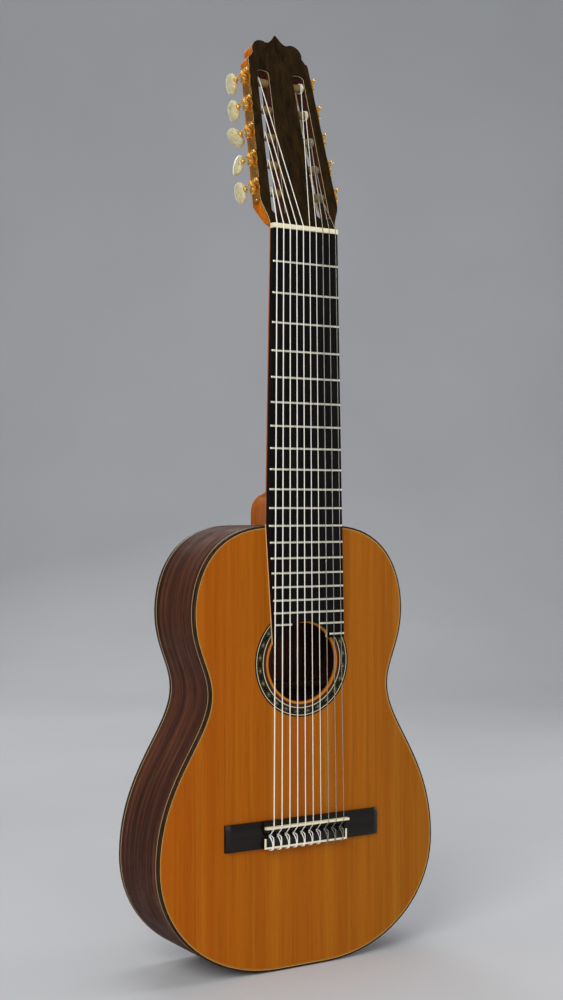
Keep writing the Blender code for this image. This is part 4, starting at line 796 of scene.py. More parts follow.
def inset(distance):
    points = [Vector((0, 0))] + OUTLINE + [Vector((0, BODY_LENGTH))]
    moved = []
    for before, here, after in zip(points, points[1:], points[2:]):
        first = (here - before).normalized()
        second = (after - here).normalized()
        normal_1 = Vector((-first.y, first.x))
        normal_2 = Vector((-second.y, second.x))
        middle = (normal_1 + normal_2).normalized()
        moved.append(here + middle * (distance / middle.dot(normal_1)))
    return moved


def mirrored(half):
    return half + [Vector((-p.x, p.y)) for p in reversed(half)]


def back_y(x, z):
    depth = TAIL_DEPTH + (NECK_DEPTH - TAIL_DEPTH) * z / BODY_LENGTH
    return FRONT_Y + depth - BACK_ARCH * (x / (LOWER_BOUT_WIDTH / 2)) ** 2


def circle(radius, segments, x=0.0, z=0.0):
    turn = 2 * math.pi / segments
    return [(x + radius * math.cos(turn * i), z + radius * math.sin(turn * i)) for i in range(segments)]


def from_front(x, z, w):
    return Vector((x, FRONT_Y + w, z))


def sections_of(rows, side=1):
    """Cross-sections from rows of outline points, each row with its depth rule."""
    sections = []
    for i in range(len(rows[0][0])):
        corners = [(row[i].x, row[i].y, depth) for row, depth in rows]
        sections.append([Vector((side * x, depth(x, z), z)) for x, z, depth in corners])
    return sections


def edge_strip(name, key, corners, nodes=()):
    """A strip right round the body; a corner is (inset, depth rule)."""
    rows = [(mirrored(inset(distance)), depth) for distance, depth in corners]
    add_loft(name, sections_of(rows), key, "rosewood_edging", closed=True, nodes=nodes)


def band(near, far, first, second):
    """The corners of a strip between two insets and two depth rules."""
    return (near, first), (near, second), (far, second), (far, first)


def front_at(offset):
    return lambda x, z: FRONT_Y + offset


def back_at(offset):
    return lambda x, z: back_y(x, z) - offset


PURFLING = (("amber", LINE_WIDTH * 1.6), ("black", LINE_WIDTH * 0.7), ("amber", LINE_WIDTH * 0.5))


def make_top():
    inner = BINDING_WIDTH + sum(width for _, width in PURFLING) + FINE_GAP
    loops = [[tuple(p) for p in mirrored(inset(inner))], circle(HOLE_RADIUS, HOLE_SEGMENTS, 0, HOLE_Z)]
    add_flat(
        "soundboard_face", loops, TOP_THICK, from_front, "top", "cedar_top", 0.0001,
        nodes=["soundboard"], smooth=15
    )
    start = BINDING_WIDTH
    for number, (key, width) in enumerate(PURFLING, start=1):
        corners = band(start, start + width, front_at(-LINE_PROUD), front_at(TOP_THICK))
        edge_strip("purfling_" + str(number), key, corners)
        start += width


def make_bindings():
    soft = BINDING_ROUND
    mid = soft * 0.29
    for name, node, rule in (
        ("front_edge", "front_binding", front_at), ("back_edge", "back_binding", back_at),
    ):
        corners = [(0, rule(BINDING_HEIGHT)), (0, rule(soft)), (mid, rule(mid)), (soft, rule(0))]
        corners += [(BINDING_WIDTH, rule(0)), (BINDING_WIDTH, rule(BINDING_HEIGHT))]
        edge_strip(name, "binding", corners, [node])
    line_end = BINDING_HEIGHT + SIDE_LINE_WIDTH
    for name, first, second in (
        ("front_side_line", front_at(BINDING_HEIGHT), front_at(line_end)),
        ("back_side_line", back_at(line_end), back_at(BINDING_HEIGHT)),
    ):
        edge_strip(name, "tan", band(-FINE_GAP, BINDING_WIDTH, first, second))
    near = BINDING_WIDTH
    far = BINDING_WIDTH + LINE_WIDTH
    corners = [(near, back_at(0)), (near, back_at(-FINE_GAP)), (far, back_at(-FINE_GAP))]
    corners += [(far, back_at(BACK_THICK)), (near, back_at(BACK_THICK))]
    edge_strip("back_face_line", "light", corners)


def make_sides():
    """Both rosewood sides with their kerfed linings."""
    first = BINDING_HEIGHT + SIDE_LINE_WIDTH
    tail = Vector((GRAFT_WIDTH / 2, 0))
    heel = Vector((SIDE_JOINT_X, BODY_LENGTH))
    for name, side in SIDES.items():
        rows = []
        for distance, depth in band(0, RIB_THICK, front_at(first), back_at(first)):
            step = Vector((0, distance))
            rows.append(([tail + step] + inset(distance) + [heel - step], depth))
        outline = rows[0][0]
        runs = [0.0]
        for before, here in zip(outline, outline[1:]):
            runs.append(runs[-1] + (here - before).length)
        add_loft(
            "side_" + name, sections_of(rows, side), "rib", "rosewood", runs=runs, nodes=["rib_" + name]
        )
        for place, rule, start in (
            ("front", front_at, TOP_THICK + GAP), ("back", back_at, BACK_THICK + GAP),
        ):
            bm = bmesh.new()
            lining_blocks(bm, side, rule(start), rule(start + LINING_HEIGHT))
            add_piece("lining_" + place + "_" + name, bm, "lining", "spruce", smooth=20)


def lining_blocks(bm, side, wall, far):
    """Kerfed lining: small wedge-shaped blocks along the side, each cut part way through."""
    outer = inset(RIB_THICK + 0.0001)
    inner = inset(RIB_THICK + LINING_WIDTH)
    for i in range(2, len(outer) - 2):
        for low, high in KERF_SHARES:
            block = []
            for t in (low, high):
                a = outer[i].lerp(outer[i + 1], t)
                b = inner[i].lerp(inner[i + 1], t)
                corners = ((a, wall), (b, wall), (a, far))
                block.append([Vector((side * p.x, rule(p.x, p.y), p.y)) for p, rule in corners])
            loft_into(bm, block)


def make_back():
    edge = BINDING_WIDTH + LINE_WIDTH
    spread = [-1 + i / 8 for i in range(17)]
    sections = []
    for p in inset(edge + FINE_GAP):
        outer = [Vector((p.x * f, back_y(p.x * f, p.y), p.y)) for f in spread]
        sections.append(outer + [v - Vector((0, BACK_THICK, 0)) for v in reversed(outer)])
    add_loft("back_board", sections, "back", "rosewood", nodes=["back_plate"])
    length = BODY_LENGTH - 2 * edge
    for name, x, half, key in (
        ("back_seam_bass_line", -0.0016, 0.0004, "light"),
        ("back_seam_strip", 0.0, 0.0012, "black"),
        ("back_seam_treble_line", 0.0016, 0.0004, "light"),
    ):
        corners = ((-half, LINE_PROUD), (half, LINE_PROUD), (half, -SEAM_DEPTH), (-half, -SEAM_DEPTH))
        sections = []
        for z in (edge + length * i / 8 for i in range(9)):
            sections.append([Vector((x + dx, back_y(0, z) + dy, z)) for dx, dy in corners])
        add_loft(name, sections, key, "rosewood_edging")


RINGS_INSIDE = (
    (ROSETTE_INNER - 0.0012, "orange"), (0.0494, "red"), (0.0498, "black"), (0.0507, "light"),
    (0.0514, "black"),
)
RINGS_OUTSIDE = ((0.0580, "black"), (0.0588, "light"), (ROSETTE_OUTER, "black"))
ROSETTE_KEYS = ("black", "light", "green", "red", "grey", "orange")


def make_rosette():
    """Rings of veneer round a band of tiles, each tile its own face in a repeating diamond motif."""
    rows = list(RINGS_INSIDE)
    inner = RINGS_INSIDE[-1][0]
    for i in range(TILE_ROWS):
        rows.append((inner + (TILES_OUTER - inner) * (i + 1) / TILE_ROWS, i))
    rows += RINGS_OUTSIDE
    radii = [HOLE_RADIUS + 0.0002] + [radius for radius, _ in rows]
    centre = Vector((0, FRONT_Y - ROSETTE_PROUD, HOLE_Z))
    bm = bmesh.new()
    grid = []
    for x, z in circle(1, TILE_COLUMNS):
        grid.append([bm.verts.new(centre + Vector((x, 0, z)) * radius) for radius in radii])
    for k, (near, far) in enumerate(zip(grid, grid[1:] + grid[:1])):
        for i, (_, kind) in enumerate(rows):
            face = bm.faces.new((near[i], near[i + 1], far[i + 1], far[i]))
            key = kind if isinstance(kind, str) else tile_key(kind, k % TILE_REPEAT)
            face.material_index = ROSETTE_KEYS.index(key)
    bottom = bmesh.ops.extrude_face_region(bm, geom=bm.faces[:])
    for item in bottom["geom"]:
        if isinstance(item, bmesh.types.BMVert):
            item.co.y += ROSETTE_DEPTH
    add_piece(
        "rosette_rings", bm, ROSETTE_KEYS[0], "rosette_mosaic", nodes=["rosette"], extra=ROSETTE_KEYS[1:],
    )


def tile_key(row, column):
    """The motif: a dim green diamond with a red field and a grey heart, on a black ground."""
    along = abs(column - (TILE_REPEAT - 1) / 2)
    reach = abs(row - (TILE_ROWS - 1) / 2) * 1.35 + along
    for limit, key in ((1.2, "grey"), (3.4, "red"), (5.0, "green")):
        if reach <= limit:
            return key
    return "green" if row in (1, TILE_ROWS - 2) and column % 4 == 0 else "black"


def make_tail():
    """End graft between the sides at the tail, edged with light lines."""
    half = GRAFT_WIDTH / 2
    low_y = FRONT_Y + BINDING_HEIGHT + SIDE_LINE_WIDTH
    high_y = back_y(half, 0) - BINDING_HEIGHT - SIDE_LINE_WIDTH
    for name, low_x, high_x, key in (
        ("graft_line_bass", -half, -half + LINE_WIDTH, "light"),
        ("end_graft", -half + LINE_WIDTH, half - LINE_WIDTH, "binding"),
        ("graft_line_treble", half - LINE_WIDTH, half, "light"),
    ):
        corners = ((low_x, 0), (high_x, 0), (high_x, RIB_THICK), (low_x, RIB_THICK))
        ring = [Vector((x, low_y, z)) for x, z in corners]
        add_loft(name, prism(ring, Vector((0, high_y - low_y, 0))), key, "rosewood_edging")


# Neck and fingerboard


def fret_z(number):
    return NUT_Z - SCALE_LENGTH * (1 - 2 ** (-number / 12))


def neck_width(z):
    return JOINT_WIDTH - (JOINT_WIDTH - NUT_WIDTH) * (z - BODY_LENGTH) / (NUT_Z - BODY_LENGTH)


def neck_section(z, width, depth, heel, tilt=0.0):
    """Half-oval section that slims towards the heel's tip."""
    ring = []
    tip = HEEL_TIP_WIDTH / 2
    for i in range(2 * NECK_STEPS + 1):
        angle = math.pi / 2 * (i - NECK_STEPS) / NECK_STEPS
        u = math.cos(angle)
        round_x = width / 2 * math.sin(abs(angle)) ** 0.92
        slim_x = tip * min(1.0, (abs(angle) / 0.5) ** 0.6) + (width / 2 - tip) * (1 - u) ** 1.7
        x = math.copysign(round_x + (min(slim_x, width / 2) - round_x) * heel, angle)
        y = NECK_FACE_Y + depth * u
        ring.append(Vector((x, y, z - tilt * (y - HEAD_ORIGIN.y))))
    return ring


def heel_share(rise):
    """How far the heel reaches back at a height over the body, from 1 at the joint to 0 on the shaft."""
    part = min(1.0, rise / HEEL_LENGTH)
    body = (1 - part**HEEL_CURVE) ** (1 / HEEL_ROUNDING)
    past = max(0.0, rise - HEEL_LENGTH + FILLET_BELOW)
    fillet = FILLET_SHARE * max(0.0, 1 - past / FILLET_LENGTH) ** 2.2
    return min(1.0, (body**FILLET_BLEND + fillet**FILLET_BLEND) ** (1 / FILLET_BLEND))


def make_neck():
    full_depth = back_y(0, BODY_LENGTH) - NECK_FACE_Y
    reach = NUT_Z - BODY_LENGTH
    rises = [HEEL_LENGTH * math.sin(math.pi / 2 * i / 28) for i in range(29)]
    rises += [HEEL_LENGTH + 0.0025 * i for i in range(1, 15)]
    rises += [rises[-1] + (reach - rises[-1]) * i / 8 for i in range(1, 9)]
    sections = []
    for rise in rises:
        z = BODY_LENGTH + max(GAP, rise)
        slim = NECK_THICK_JOINT + (NECK_THICK_NUT - NECK_THICK_JOINT) * rise / reach
        share = heel_share(rise)
        depth = slim + (full_depth - slim) * share
        sections.append(neck_section(z, neck_width(z) - 2 * GAP, depth, min(1.0, share * 1.25)))
    top_z = NUT_Z + NUT_THICK - GAP
    sections.append(neck_section(top_z, NUT_WIDTH - 2 * GAP, NECK_THICK_NUT, 0, math.tan(HEAD_TILT)))
    add_loft("neck_shaft", sections, "neck", "neck_cedar", nodes=["neck"], smooth=50)
    inner_z = BODY_LENGTH - RIB_THICK - GAP
    block_z = inner_z - NECK_BLOCK_THICK
    foot_z = block_z - NECK_FOOT_LENGTH
    low_y = FRONT_Y + TOP_THICK + GAP
    foot_y = low_y + NECK_FOOT_THICK
    high_y = back_y(NECK_BLOCK_WIDTH / 2, BODY_LENGTH) - BACK_THICK - GAP
    profile = [(low_y, inner_z), (low_y, foot_z), (low_y + 0.004, foot_z), (foot_y, foot_z + 0.014)]
    profile += [(foot_y, block_z), (high_y, block_z), (high_y, inner_z)]
    ring = [Vector((-NECK_BLOCK_WIDTH / 2, y, z)) for y, z in profile]
    add_loft("heel_foot", prism(ring, Vector((NECK_BLOCK_WIDTH, 0, 0))), "lining", "neck_cedar", smooth=20)


def board_edge_bass(z):
    if z >= BODY_LENGTH:
        return -neck_width(z) / 2
    last = fret_z(FRET_COUNT)
    return -JOINT_WIDTH / 2 + BASS_KINK * (BODY_LENGTH - z) / (BODY_LENGTH - last)


def board_plan(top_z):
    tongue_z = fret_z(FRET_COUNT + 1) - TONGUE_LENGTH
    start_z = HOLE_Z
    while board_edge_bass(start_z) ** 2 + (start_z - HOLE_Z) ** 2 < BOARD_END_RADIUS**2:
        start_z += 0.0005
    first = math.atan2(start_z - HOLE_Z, board_edge_bass(start_z))
    last = math.acos(TONGUE_INNER_X / BOARD_END_RADIUS)
    plan = [(board_edge_bass(top_z), top_z)]
    if top_z > BODY_LENGTH:
        plan.append((board_edge_bass(BODY_LENGTH), BODY_LENGTH))
    for i in range(BOARD_END_STEPS + 1):
        angle = first + (last - first) * i / BOARD_END_STEPS
        plan.append((BOARD_END_RADIUS * math.cos(angle), HOLE_Z + BOARD_END_RADIUS * math.sin(angle)))
    plan += [
        (TONGUE_INNER_X, tongue_z), (neck_width(tongue_z) / 2, tongue_z), (neck_width(top_z) / 2, top_z),
    ]
    return plan


def fret_into(bm, low_x, high_x, z):
    """A crowned wire with bevelled ends."""
    half = FRET_WIDTH / 2
    seat = BOARD_TOP_Y + 0.0002
    stations = [(low_x + step, height) for step, height in FRET_END]
    stations += [(high_x - step, height) for step, height in reversed(FRET_END)]
    sections = []
    for x, height in stations:
        ring = [Vector((x, seat, z - half))]
        for i in range(9):
            angle = math.pi * i / 8
            rise = FRET_HEIGHT * height * math.sin(angle) ** 0.8
            ring.append(Vector((x, BOARD_TOP_Y - rise, z - half * math.cos(angle))))
        sections.append(ring + [Vector((x, seat, z + half))])
    loft_into(bm, sections)


def make_fingerboard():
    def board(u, v, w):
        return Vector((u, BOARD_TOP_Y + w, v))

    def underlay(u, v, w):
        return Vector((u, NECK_FACE_Y - GAP + w, v))

    plan = board_plan(NUT_Z - GAP)
    add_flat(
        "fingerboard_face", [plan], BOARD_THICK, board, "ebony", "ebony", 0.0003,
        nodes=["fingerboard"], smooth=15
    )
    bm = bmesh.new()
    side = 0.0003
    for number in range(1, FRET_COUNT):
        z = fret_z(number)
        fret_into(bm, board_edge_bass(z) + side, neck_width(z) / 2 - side, z)
    z = fret_z(FRET_COUNT)
    arc_x = math.sqrt(BOARD_END_RADIUS**2 - (z - FRET_WIDTH / 2 - HOLE_Z) ** 2) + side
    fret_into(bm, board_edge_bass(z) + side, -arc_x, z)
    fret_into(bm, arc_x, neck_width(z) / 2 - side, z)
    z = fret_z(FRET_COUNT + 1)
    fret_into(bm, TONGUE_INNER_X + side, neck_width(z) / 2 - side, z)
    add_piece("frets", bm, "nickel", "ebony")
    # The pale underlay under the board's end; part of its paleness is a painted highlight along the joint.
    plan = board_plan(BODY_LENGTH + 0.002)
    add_flat("board_underlay", [plan], WEDGE_THICK, underlay, "wedge", "neck_cedar", 0.0001, smooth=15)


def grooved_bar(half, low_z, high_z, top_y, seat_y, spots, depth):
    """Sections of a bar of bone with a rounded top and a groove for each string."""
    soft = BONE_ROUND
    stations = [(-half, 0.0), (-half + BONE_END, 0.0)]
    for x, diameter in sorted(zip(spots, STRING_DIAMETERS)):
        radius = diameter / 2
        wide = radius + 0.0003
        steep = radius * 0.7
        stations += [(x - wide, 0.0), (x - steep, depth * 0.75), (x, depth), (x + steep, depth * 0.75)]
        stations.append((x + wide, 0.0))
    stations += [(half - BONE_END, 0.0), (half, 0.0)]
    sections = []
    for index, (x, drop) in enumerate(stations):
        y = top_y + drop + (BONE_END if index in (0, len(stations) - 1) else 0.0)
        low = [(seat_y, low_z), (y + soft, low_z), (y + soft * 0.3, low_z + soft * 0.4), (y, low_z + soft)]
        high = [
            (y, high_z - soft), (y + soft * 0.3, high_z - soft * 0.4), (y + soft, high_z), (seat_y, high_z),
        ]
        sections.append([Vector((x, y, z)) for y, z in low + high])
    return sections


def nut_x(number):
    return (5.5 - number) * NUT_SPACING


def saddle_x(number):
    return (5.5 - number) * SADDLE_SPACING


def make_nut():
    spots = [nut_x(n) for n in STRING_NUMBERS]
    high_z = NUT_Z + NUT_THICK - GAP
    top_y = NUT_TOP_Y - NUT_OVER_STRING
    depth = NUT_OVER_STRING + GAP * 0.6
    sections = grooved_bar(NUT_WIDTH / 2, NUT_Z, high_z, top_y, NECK_FACE_Y - GAP, spots, depth)
    add_loft("nut_bone", sections, "bone", "bone", nodes=["nut"], smooth=30)


# Head


def head_point(x, s, b):
    return HEAD_ORIGIN + Vector((x, 0, 0)) + HEAD_S * s + HEAD_B * b


def head_half_width(s):
    return HEAD_WIDE / 2 - HEAD_TAPER * (s - HEAD_WIDE_S)


def head_outline(start=0.0):
    """Concave shoulders, a tapering middle and a three-lobed crest."""
    end = head_half_width(HEAD_SIDE_END)
    low = NUT_WIDTH / 2
    half = [(low, start)]
    for i in range(1, 13):
        t = i / 12
        bend = t * t * (3 - 2 * t)
        half.append((low + (HEAD_WIDE / 2 - low) * bend, start + (HEAD_WIDE_S - start) * t**0.9))
    half += [(end, HEAD_SIDE_END), (end - SIDE_STEP_X * 0.4, HEAD_SIDE_END + SIDE_STEP_S * 0.75)]
    half.append((end - SIDE_STEP_X, HEAD_SIDE_END + SIDE_STEP_S))
    for i in range(LOBE_POINTS):
        angle = LOBE_START + LOBE_STEP * i
        x = end - LOBE_INSET + LOBE_RADIUS * math.cos(angle)
        half.append((x, HEAD_SIDE_END + LOBE_RISE + LOBE_RADIUS * math.sin(angle)))
    half += [(x, HEAD_SIDE_END + rise) for x, rise in CREST]
    return half + [(0, HEAD_SIDE_END + CREST_RISE)] + [(-x, s) for x, s in reversed(half)]


def slot_edge(start, end, s):
    return start + (end - start) * (s - SLOT_START) / (SLOT_END - SLOT_START)


def slot_outline(side):
    outline = []
    for s_end, sign in ((SLOT_START, -1), (SLOT_END, 1)):
        inner = slot_edge(SLOT_INNER_START, SLOT_INNER_END, s_end)
        outer = slot_edge(SLOT_OUTER_START, SLOT_OUTER_END, s_end)
        radius = (outer - inner) / 2
        rise = radius * 0.55
        for i in range(17):
            angle = math.pi * i / 16
            x = (inner + outer) / 2 - sign * radius * math.cos(angle)
            outline.append((side * x, s_end - sign * rise + sign * rise * math.sin(angle)))
    return outline


def tuner_frame(side, index):
    s = FIRST_TUNER_S + TUNER_PITCH * index
    lean = math.atan(HEAD_TAPER)
    across = Vector((side, 0, 0))
    outward = across * math.cos(lean) + HEAD_S * math.sin(lean)
    along = -across * math.sin(lean) + HEAD_S * math.cos(lean)
    return head_point(side * head_half_width(s), s, ROLLER_DEPTH), outward, along


def all_tuners():
    for name, side in SIDES.items():
        for index in range(TUNERS_PER_SIDE):
            yield name, side, index


def throat():
    """What the head keeps: the neck's round back at the nut, square further up."""
    neck_depth = NECK_THICK_NUT / math.cos(HEAD_TILT)
    steps = 12
    shares = [i / steps for i in range(steps + 1)]
    stations = [(-0.002, 0)] + [(THROAT_LENGTH * share, share) for share in shares] + [(0.3, 1)]
    rings = []
    for s, share in stations:
        half = NUT_WIDTH / 2 + (HEAD_WIDE - NUT_WIDTH) / 2 * share**1.5 + 0.0005
        depth = neck_depth + (HEAD_THICK + 0.002 - VENEER_THICK - neck_depth) * share
        power = 2 + 12 * share
        row = []
        for i in range(25):
            u = math.sin(math.pi / 2 * i / 24)
            row.append((half * (1 - u**power) ** (1 / power), VENEER_THICK + depth * u))
        ring = [head_point(x, s, b) for x, b in row]
        rings.append(ring + [head_point(-x, s, b) for x, b in reversed(row[:-1])])
    bm = bmesh.new()
    loft_into(bm, rings)
    return bm


def head_layer(depth):
    """A rule that lays a flat outline parallel to the head's face."""
    return lambda u, v, w: head_point(u, v, depth + w)


def make_head():
    slots = [slot_outline(side) for side in SIDES.values()]
    loops = [head_outline()] + slots
    core_start = VENEER_THICK + 2 * LINE_WIDTH
    thick = HEAD_THICK - core_start + GAP
    rest = {"nodes": ["headstock"], "smooth": 15}
    ob = add_flat("head_core", loops, thick, head_layer(core_start), "neck", "neck_cedar", 0.0004, **rest)
    ob.data = combine(ob.data, throat(), "INTERSECT")
    cuts = bmesh.new()
    for _, side, index in all_tuners():
        origin, outward, _ = tuner_frame(side, index)
        inner = origin - outward * (ROLLER_REACH + 0.0006)
        cylinder_into(cuts, origin + outward * 0.002, inner, ROLLER_RADIUS + 0.0004, 32)
    ob.data = combine(ob.data, cuts)
    # Upright faces inside the slots take the darker slot wood: painted shade on the slot walls.
    ob.data.materials.append(MATERIALS["slot_wall_shade"])
    for face in ob.data.polygons:
        rise = (face.center - HEAD_ORIGIN).dot(HEAD_S)
        upright = abs(face.normal.dot(HEAD_B)) < 0.5
        reach = slot_edge(SLOT_OUTER_START, SLOT_OUTER_END, rise) + GAP
        if upright and SLOT_START < rise < SLOT_END and abs(face.center.x) < reach:
            face.material_index = 1
    for name, low, high, key in (
        ("head_light_line", VENEER_THICK, VENEER_THICK + LINE_WIDTH, "light"),
        ("head_dark_line", VENEER_THICK + LINE_WIDTH, core_start, "black"),
    ):
        add_flat(name, loops, high - low, head_layer(low), key, "rosewood", 0.00003, smooth=15)
    loops = [head_outline(VENEER_THICK * math.tan(HEAD_TILT) + GAP)] + slots
    rest = {"nodes": ["head_veneer"], "smooth": 15}
    add_flat("head_face", loops, VENEER_THICK, head_point, "veneer", "rosewood", 0.0003, **rest)


# Tuners


def tuner_place(side, index):
    """A rule from (out, along towards the worm, through the head) to a point."""
    origin, outward, along = tuner_frame(side, index)
    return lambda u, v, b: origin + outward * u + along * v + HEAD_B * b


def plate_outline():
    low = -PLATE_END
    high = SLANT_PITCH * (TUNERS_PER_SIDE - 1) + PLATE_END
    steps = 36 * TUNERS_PER_SIDE
    edge = []
    for i in range(steps + 1):
        v = low + (high - low) * i / steps
        turn = 2 * math.pi * v / TUNER_PITCH
        half = PLATE_HALF_WIDTH + PLATE_SCALLOP * 0.85 * math.cos(turn) + 0.00045 * math.cos(3 * turn)
        from_end = min(v - low, high - v)
        half *= min(1.0, 0.30 + 0.70 * math.sqrt(min(1.0, from_end / 0.0060)))
        edge.append((v, half))
    return edge + [(v, -b) for v, b in reversed(edge)]


def screw_mesh(bm, centre, axis, across, radius, height):
    """A domed head with a driver slot."""
    other = axis.cross(across)
    for sign in (-1, 1):
        rings = []
        for share, rise in ((1.0, 0.0), (1.0, 0.35), (0.82, 0.72), (0.45, 0.95), (0.05, 1.0)):
            ring = []
            for i in range(13):
                angle = math.pi * i / 12
                x = radius * share * math.cos(angle)
                y = radius * 0.14 + radius * share * 0.86 * math.sin(angle)
                ring.append(centre + across * x + other * (sign * y) + axis * (height * rise))
            rings.append(ring)
        loft_into(bm, rings)
    floor = [centre + across * x + other * y for x, y in circle(radius * 0.98, 20)]
    loft_into(bm, [floor, [p + axis * (height * 0.30) for p in floor]])


def cheek_outline():
    half = CHEEK_WIDTH / 2
    foot = PLATE_OUTER - 0.0001
    knee = PLATE_OUTER + 0.0010
    arch = [(-half * 1.25, foot), (half * 1.25, foot), (half * 0.95, knee)]
    for i in range(17):
        angle = math.pi * i / 16
        arch.append((half * math.cos(angle), GEAR_MIDDLE + min(half, CHEEK_RISE) * math.sin(angle)))
    return arch + [(-half * 0.95, knee)]


def make_plates():
    """The side plates with their screws, and the two cheeks that hold each worm."""
    spots = [SLANT_PITCH * i for i in range(TUNERS_PER_SIDE)]
    holes = [circle(JOURNAL_RADIUS + 0.0002, 20, spot) for spot in spots]
    screws = [PLATE_SCREW_INSET - PLATE_END]
    screws += [SLANT_PITCH * (i + 0.5) - 0.0045 for i in range(TUNERS_PER_SIDE - 1)]
    screws.append(spots[-1] + PLATE_END - PLATE_SCREW_INSET)
    cheek_loops = [cheek_outline(), circle(WORM_CORE_RADIUS + 0.00015, 20, 0, GEAR_MIDDLE)]
    for name, side in SIDES.items():
        _, outward, along = tuner_frame(side, 0)
        place = tuner_place(side, 0)
        bm = bmesh.new()
        loops = [plate_outline()] + holes
        flat_shape(bm, loops, PLATE_THICK, lambda u, v, w: place(GAP + w, u, v), edge=0.00025, steps=2)
        add_piece("plate_" + name, bm, "plate", "gilt_brass", nodes=["tuner_plate_" + name])
        bm = bmesh.new()
        for v in screws:
            screw_mesh(
                bm, place(PLATE_OUTER, v, 0), outward, (along + HEAD_B * 0.6).normalized(), 0.0019, 0.0011,
            )
        add_piece("plate_screws_" + name, bm, "gold", "gilt_brass")
        bm = bmesh.new()
        for spot in spots:
            middle = spot + CENTRE_DISTANCE
            for base in (-CHEEK_START - CHEEK_THICK, CHEEK_START):
                flat_shape(bm, cheek_loops, CHEEK_THICK, lambda u, v, w: place(v, middle + u, base + w))
        add_piece("worm_bearings_" + name, bm, "gold", "gilt_brass")


def gear_profile():
    tip = GEAR_PITCH_RADIUS + GEAR_ADDENDUM
    root = GEAR_PITCH_RADIUS - GEAR_DEDENDUM
    profile = []
    for tooth in range(GEAR_TEETH):
        middle = 2 * math.pi * tooth / GEAR_TEETH
        for radius in (root, GEAR_PITCH_RADIUS, tip):
            half = (TOOTH_THICK / 2 + (GEAR_PITCH_RADIUS - radius) * FLANK_SLOPE) / radius
            profile.append((middle - half, radius))
        for radius in (tip, GEAR_PITCH_RADIUS, root):
            half = (TOOTH_THICK / 2 + (GEAR_PITCH_RADIUS - radius) * FLANK_SLOPE) / radius
            profile.append((middle + half, radius))
    return [(radius * math.cos(angle), radius * math.sin(angle)) for angle, radius in profile]


def make_roller(name, side, index):
    label = name + "_" + str(index + 1)
    body = "roller_body_" + label
    place = tuner_place(side, index)
    _, outward, along = tuner_frame(side, index)
    end = 2 * GAP
    soft = 0.0005
    profile = [(-ROLLER_REACH, ROLLER_RADIUS * 0.5), (-ROLLER_REACH, ROLLER_RADIUS - soft)]
    profile += [(-ROLLER_REACH + soft, ROLLER_RADIUS), (-end - soft, ROLLER_RADIUS)]
    profile += [(-end, ROLLER_RADIUS - soft), (-end, ROLLER_RADIUS * 0.5)]
    bm = bmesh.new()
    turned(bm, profile, place, 40)
    ob = add_piece("string_roller_" + label, bm, "roller", "roller_ivory", body, nodes=["roller_" + label])
    number = 10 - index if side < 0 else index + 1
    advance = (WINDING_TURNS + 1.0) * (STRING_DIAMETERS[number - 1] + WINDING_SPACE)
    middle = winding_centre(number) + outward * advance
    cut = bmesh.new()
    cylinder_into(cut, middle - HEAD_B * 0.008, middle + HEAD_B * 0.008, 0.0011, 20)
    ob.data = combine(ob.data, cut)
    hub_end = GEAR_START + 0.0004
    hub = [
        (-end, JOURNAL_RADIUS * 0.4), (-end, JOURNAL_RADIUS), (hub_end, JOURNAL_RADIUS), (hub_end, 0.0004),
    ]
    bm = bmesh.new()
    turned(bm, hub, place, 24)
    flat_shape(bm, [gear_profile()], GEAR_WIDTH, lambda u, v, w: place(GEAR_START + w, u, v), edge=0.00012)
    add_piece("gear_" + label, bm, "gold", "gilt_brass", body, smooth=30)
    bm = bmesh.new()
    centre = place(GEAR_START + GEAR_WIDTH, 0, 0)
    screw_mesh(bm, centre, outward, (along + HEAD_B).normalized(), GEAR_SCREW_RADIUS, GEAR_SCREW_HEIGHT)
    add_piece("gear_screw_" + label, bm, "gold", "gilt_brass", body)


def thread_radius(angle, height):
    """Radius of the right-hand worm; its groove faces angle 0 at height 0."""
    turns = height / WORM_LEAD - angle / (2 * math.pi) - 0.5
    away = abs((turns + 0.5) % 1.0 - 0.5) * WORM_LEAD
    tip = WORM_PITCH_RADIUS + WORM_ADDENDUM
    flat = THREAD_THICK / 2 - WORM_ADDENDUM * FLANK_SLOPE
    if away <= flat:
        return tip
    return max(WORM_CORE_RADIUS, tip - (away - flat) / FLANK_SLOPE)


def worm_ring(place, height, fade):
    ring = []
    for i in range(WORM_SEGMENTS):
        angle = 2 * math.pi * i / WORM_SEGMENTS
        radius = WORM_CORE_RADIUS + (thread_radius(angle, height) - WORM_CORE_RADIUS) * fade
        ring.append(place(height, radius * math.cos(angle), radius * math.sin(angle)))
    return ring


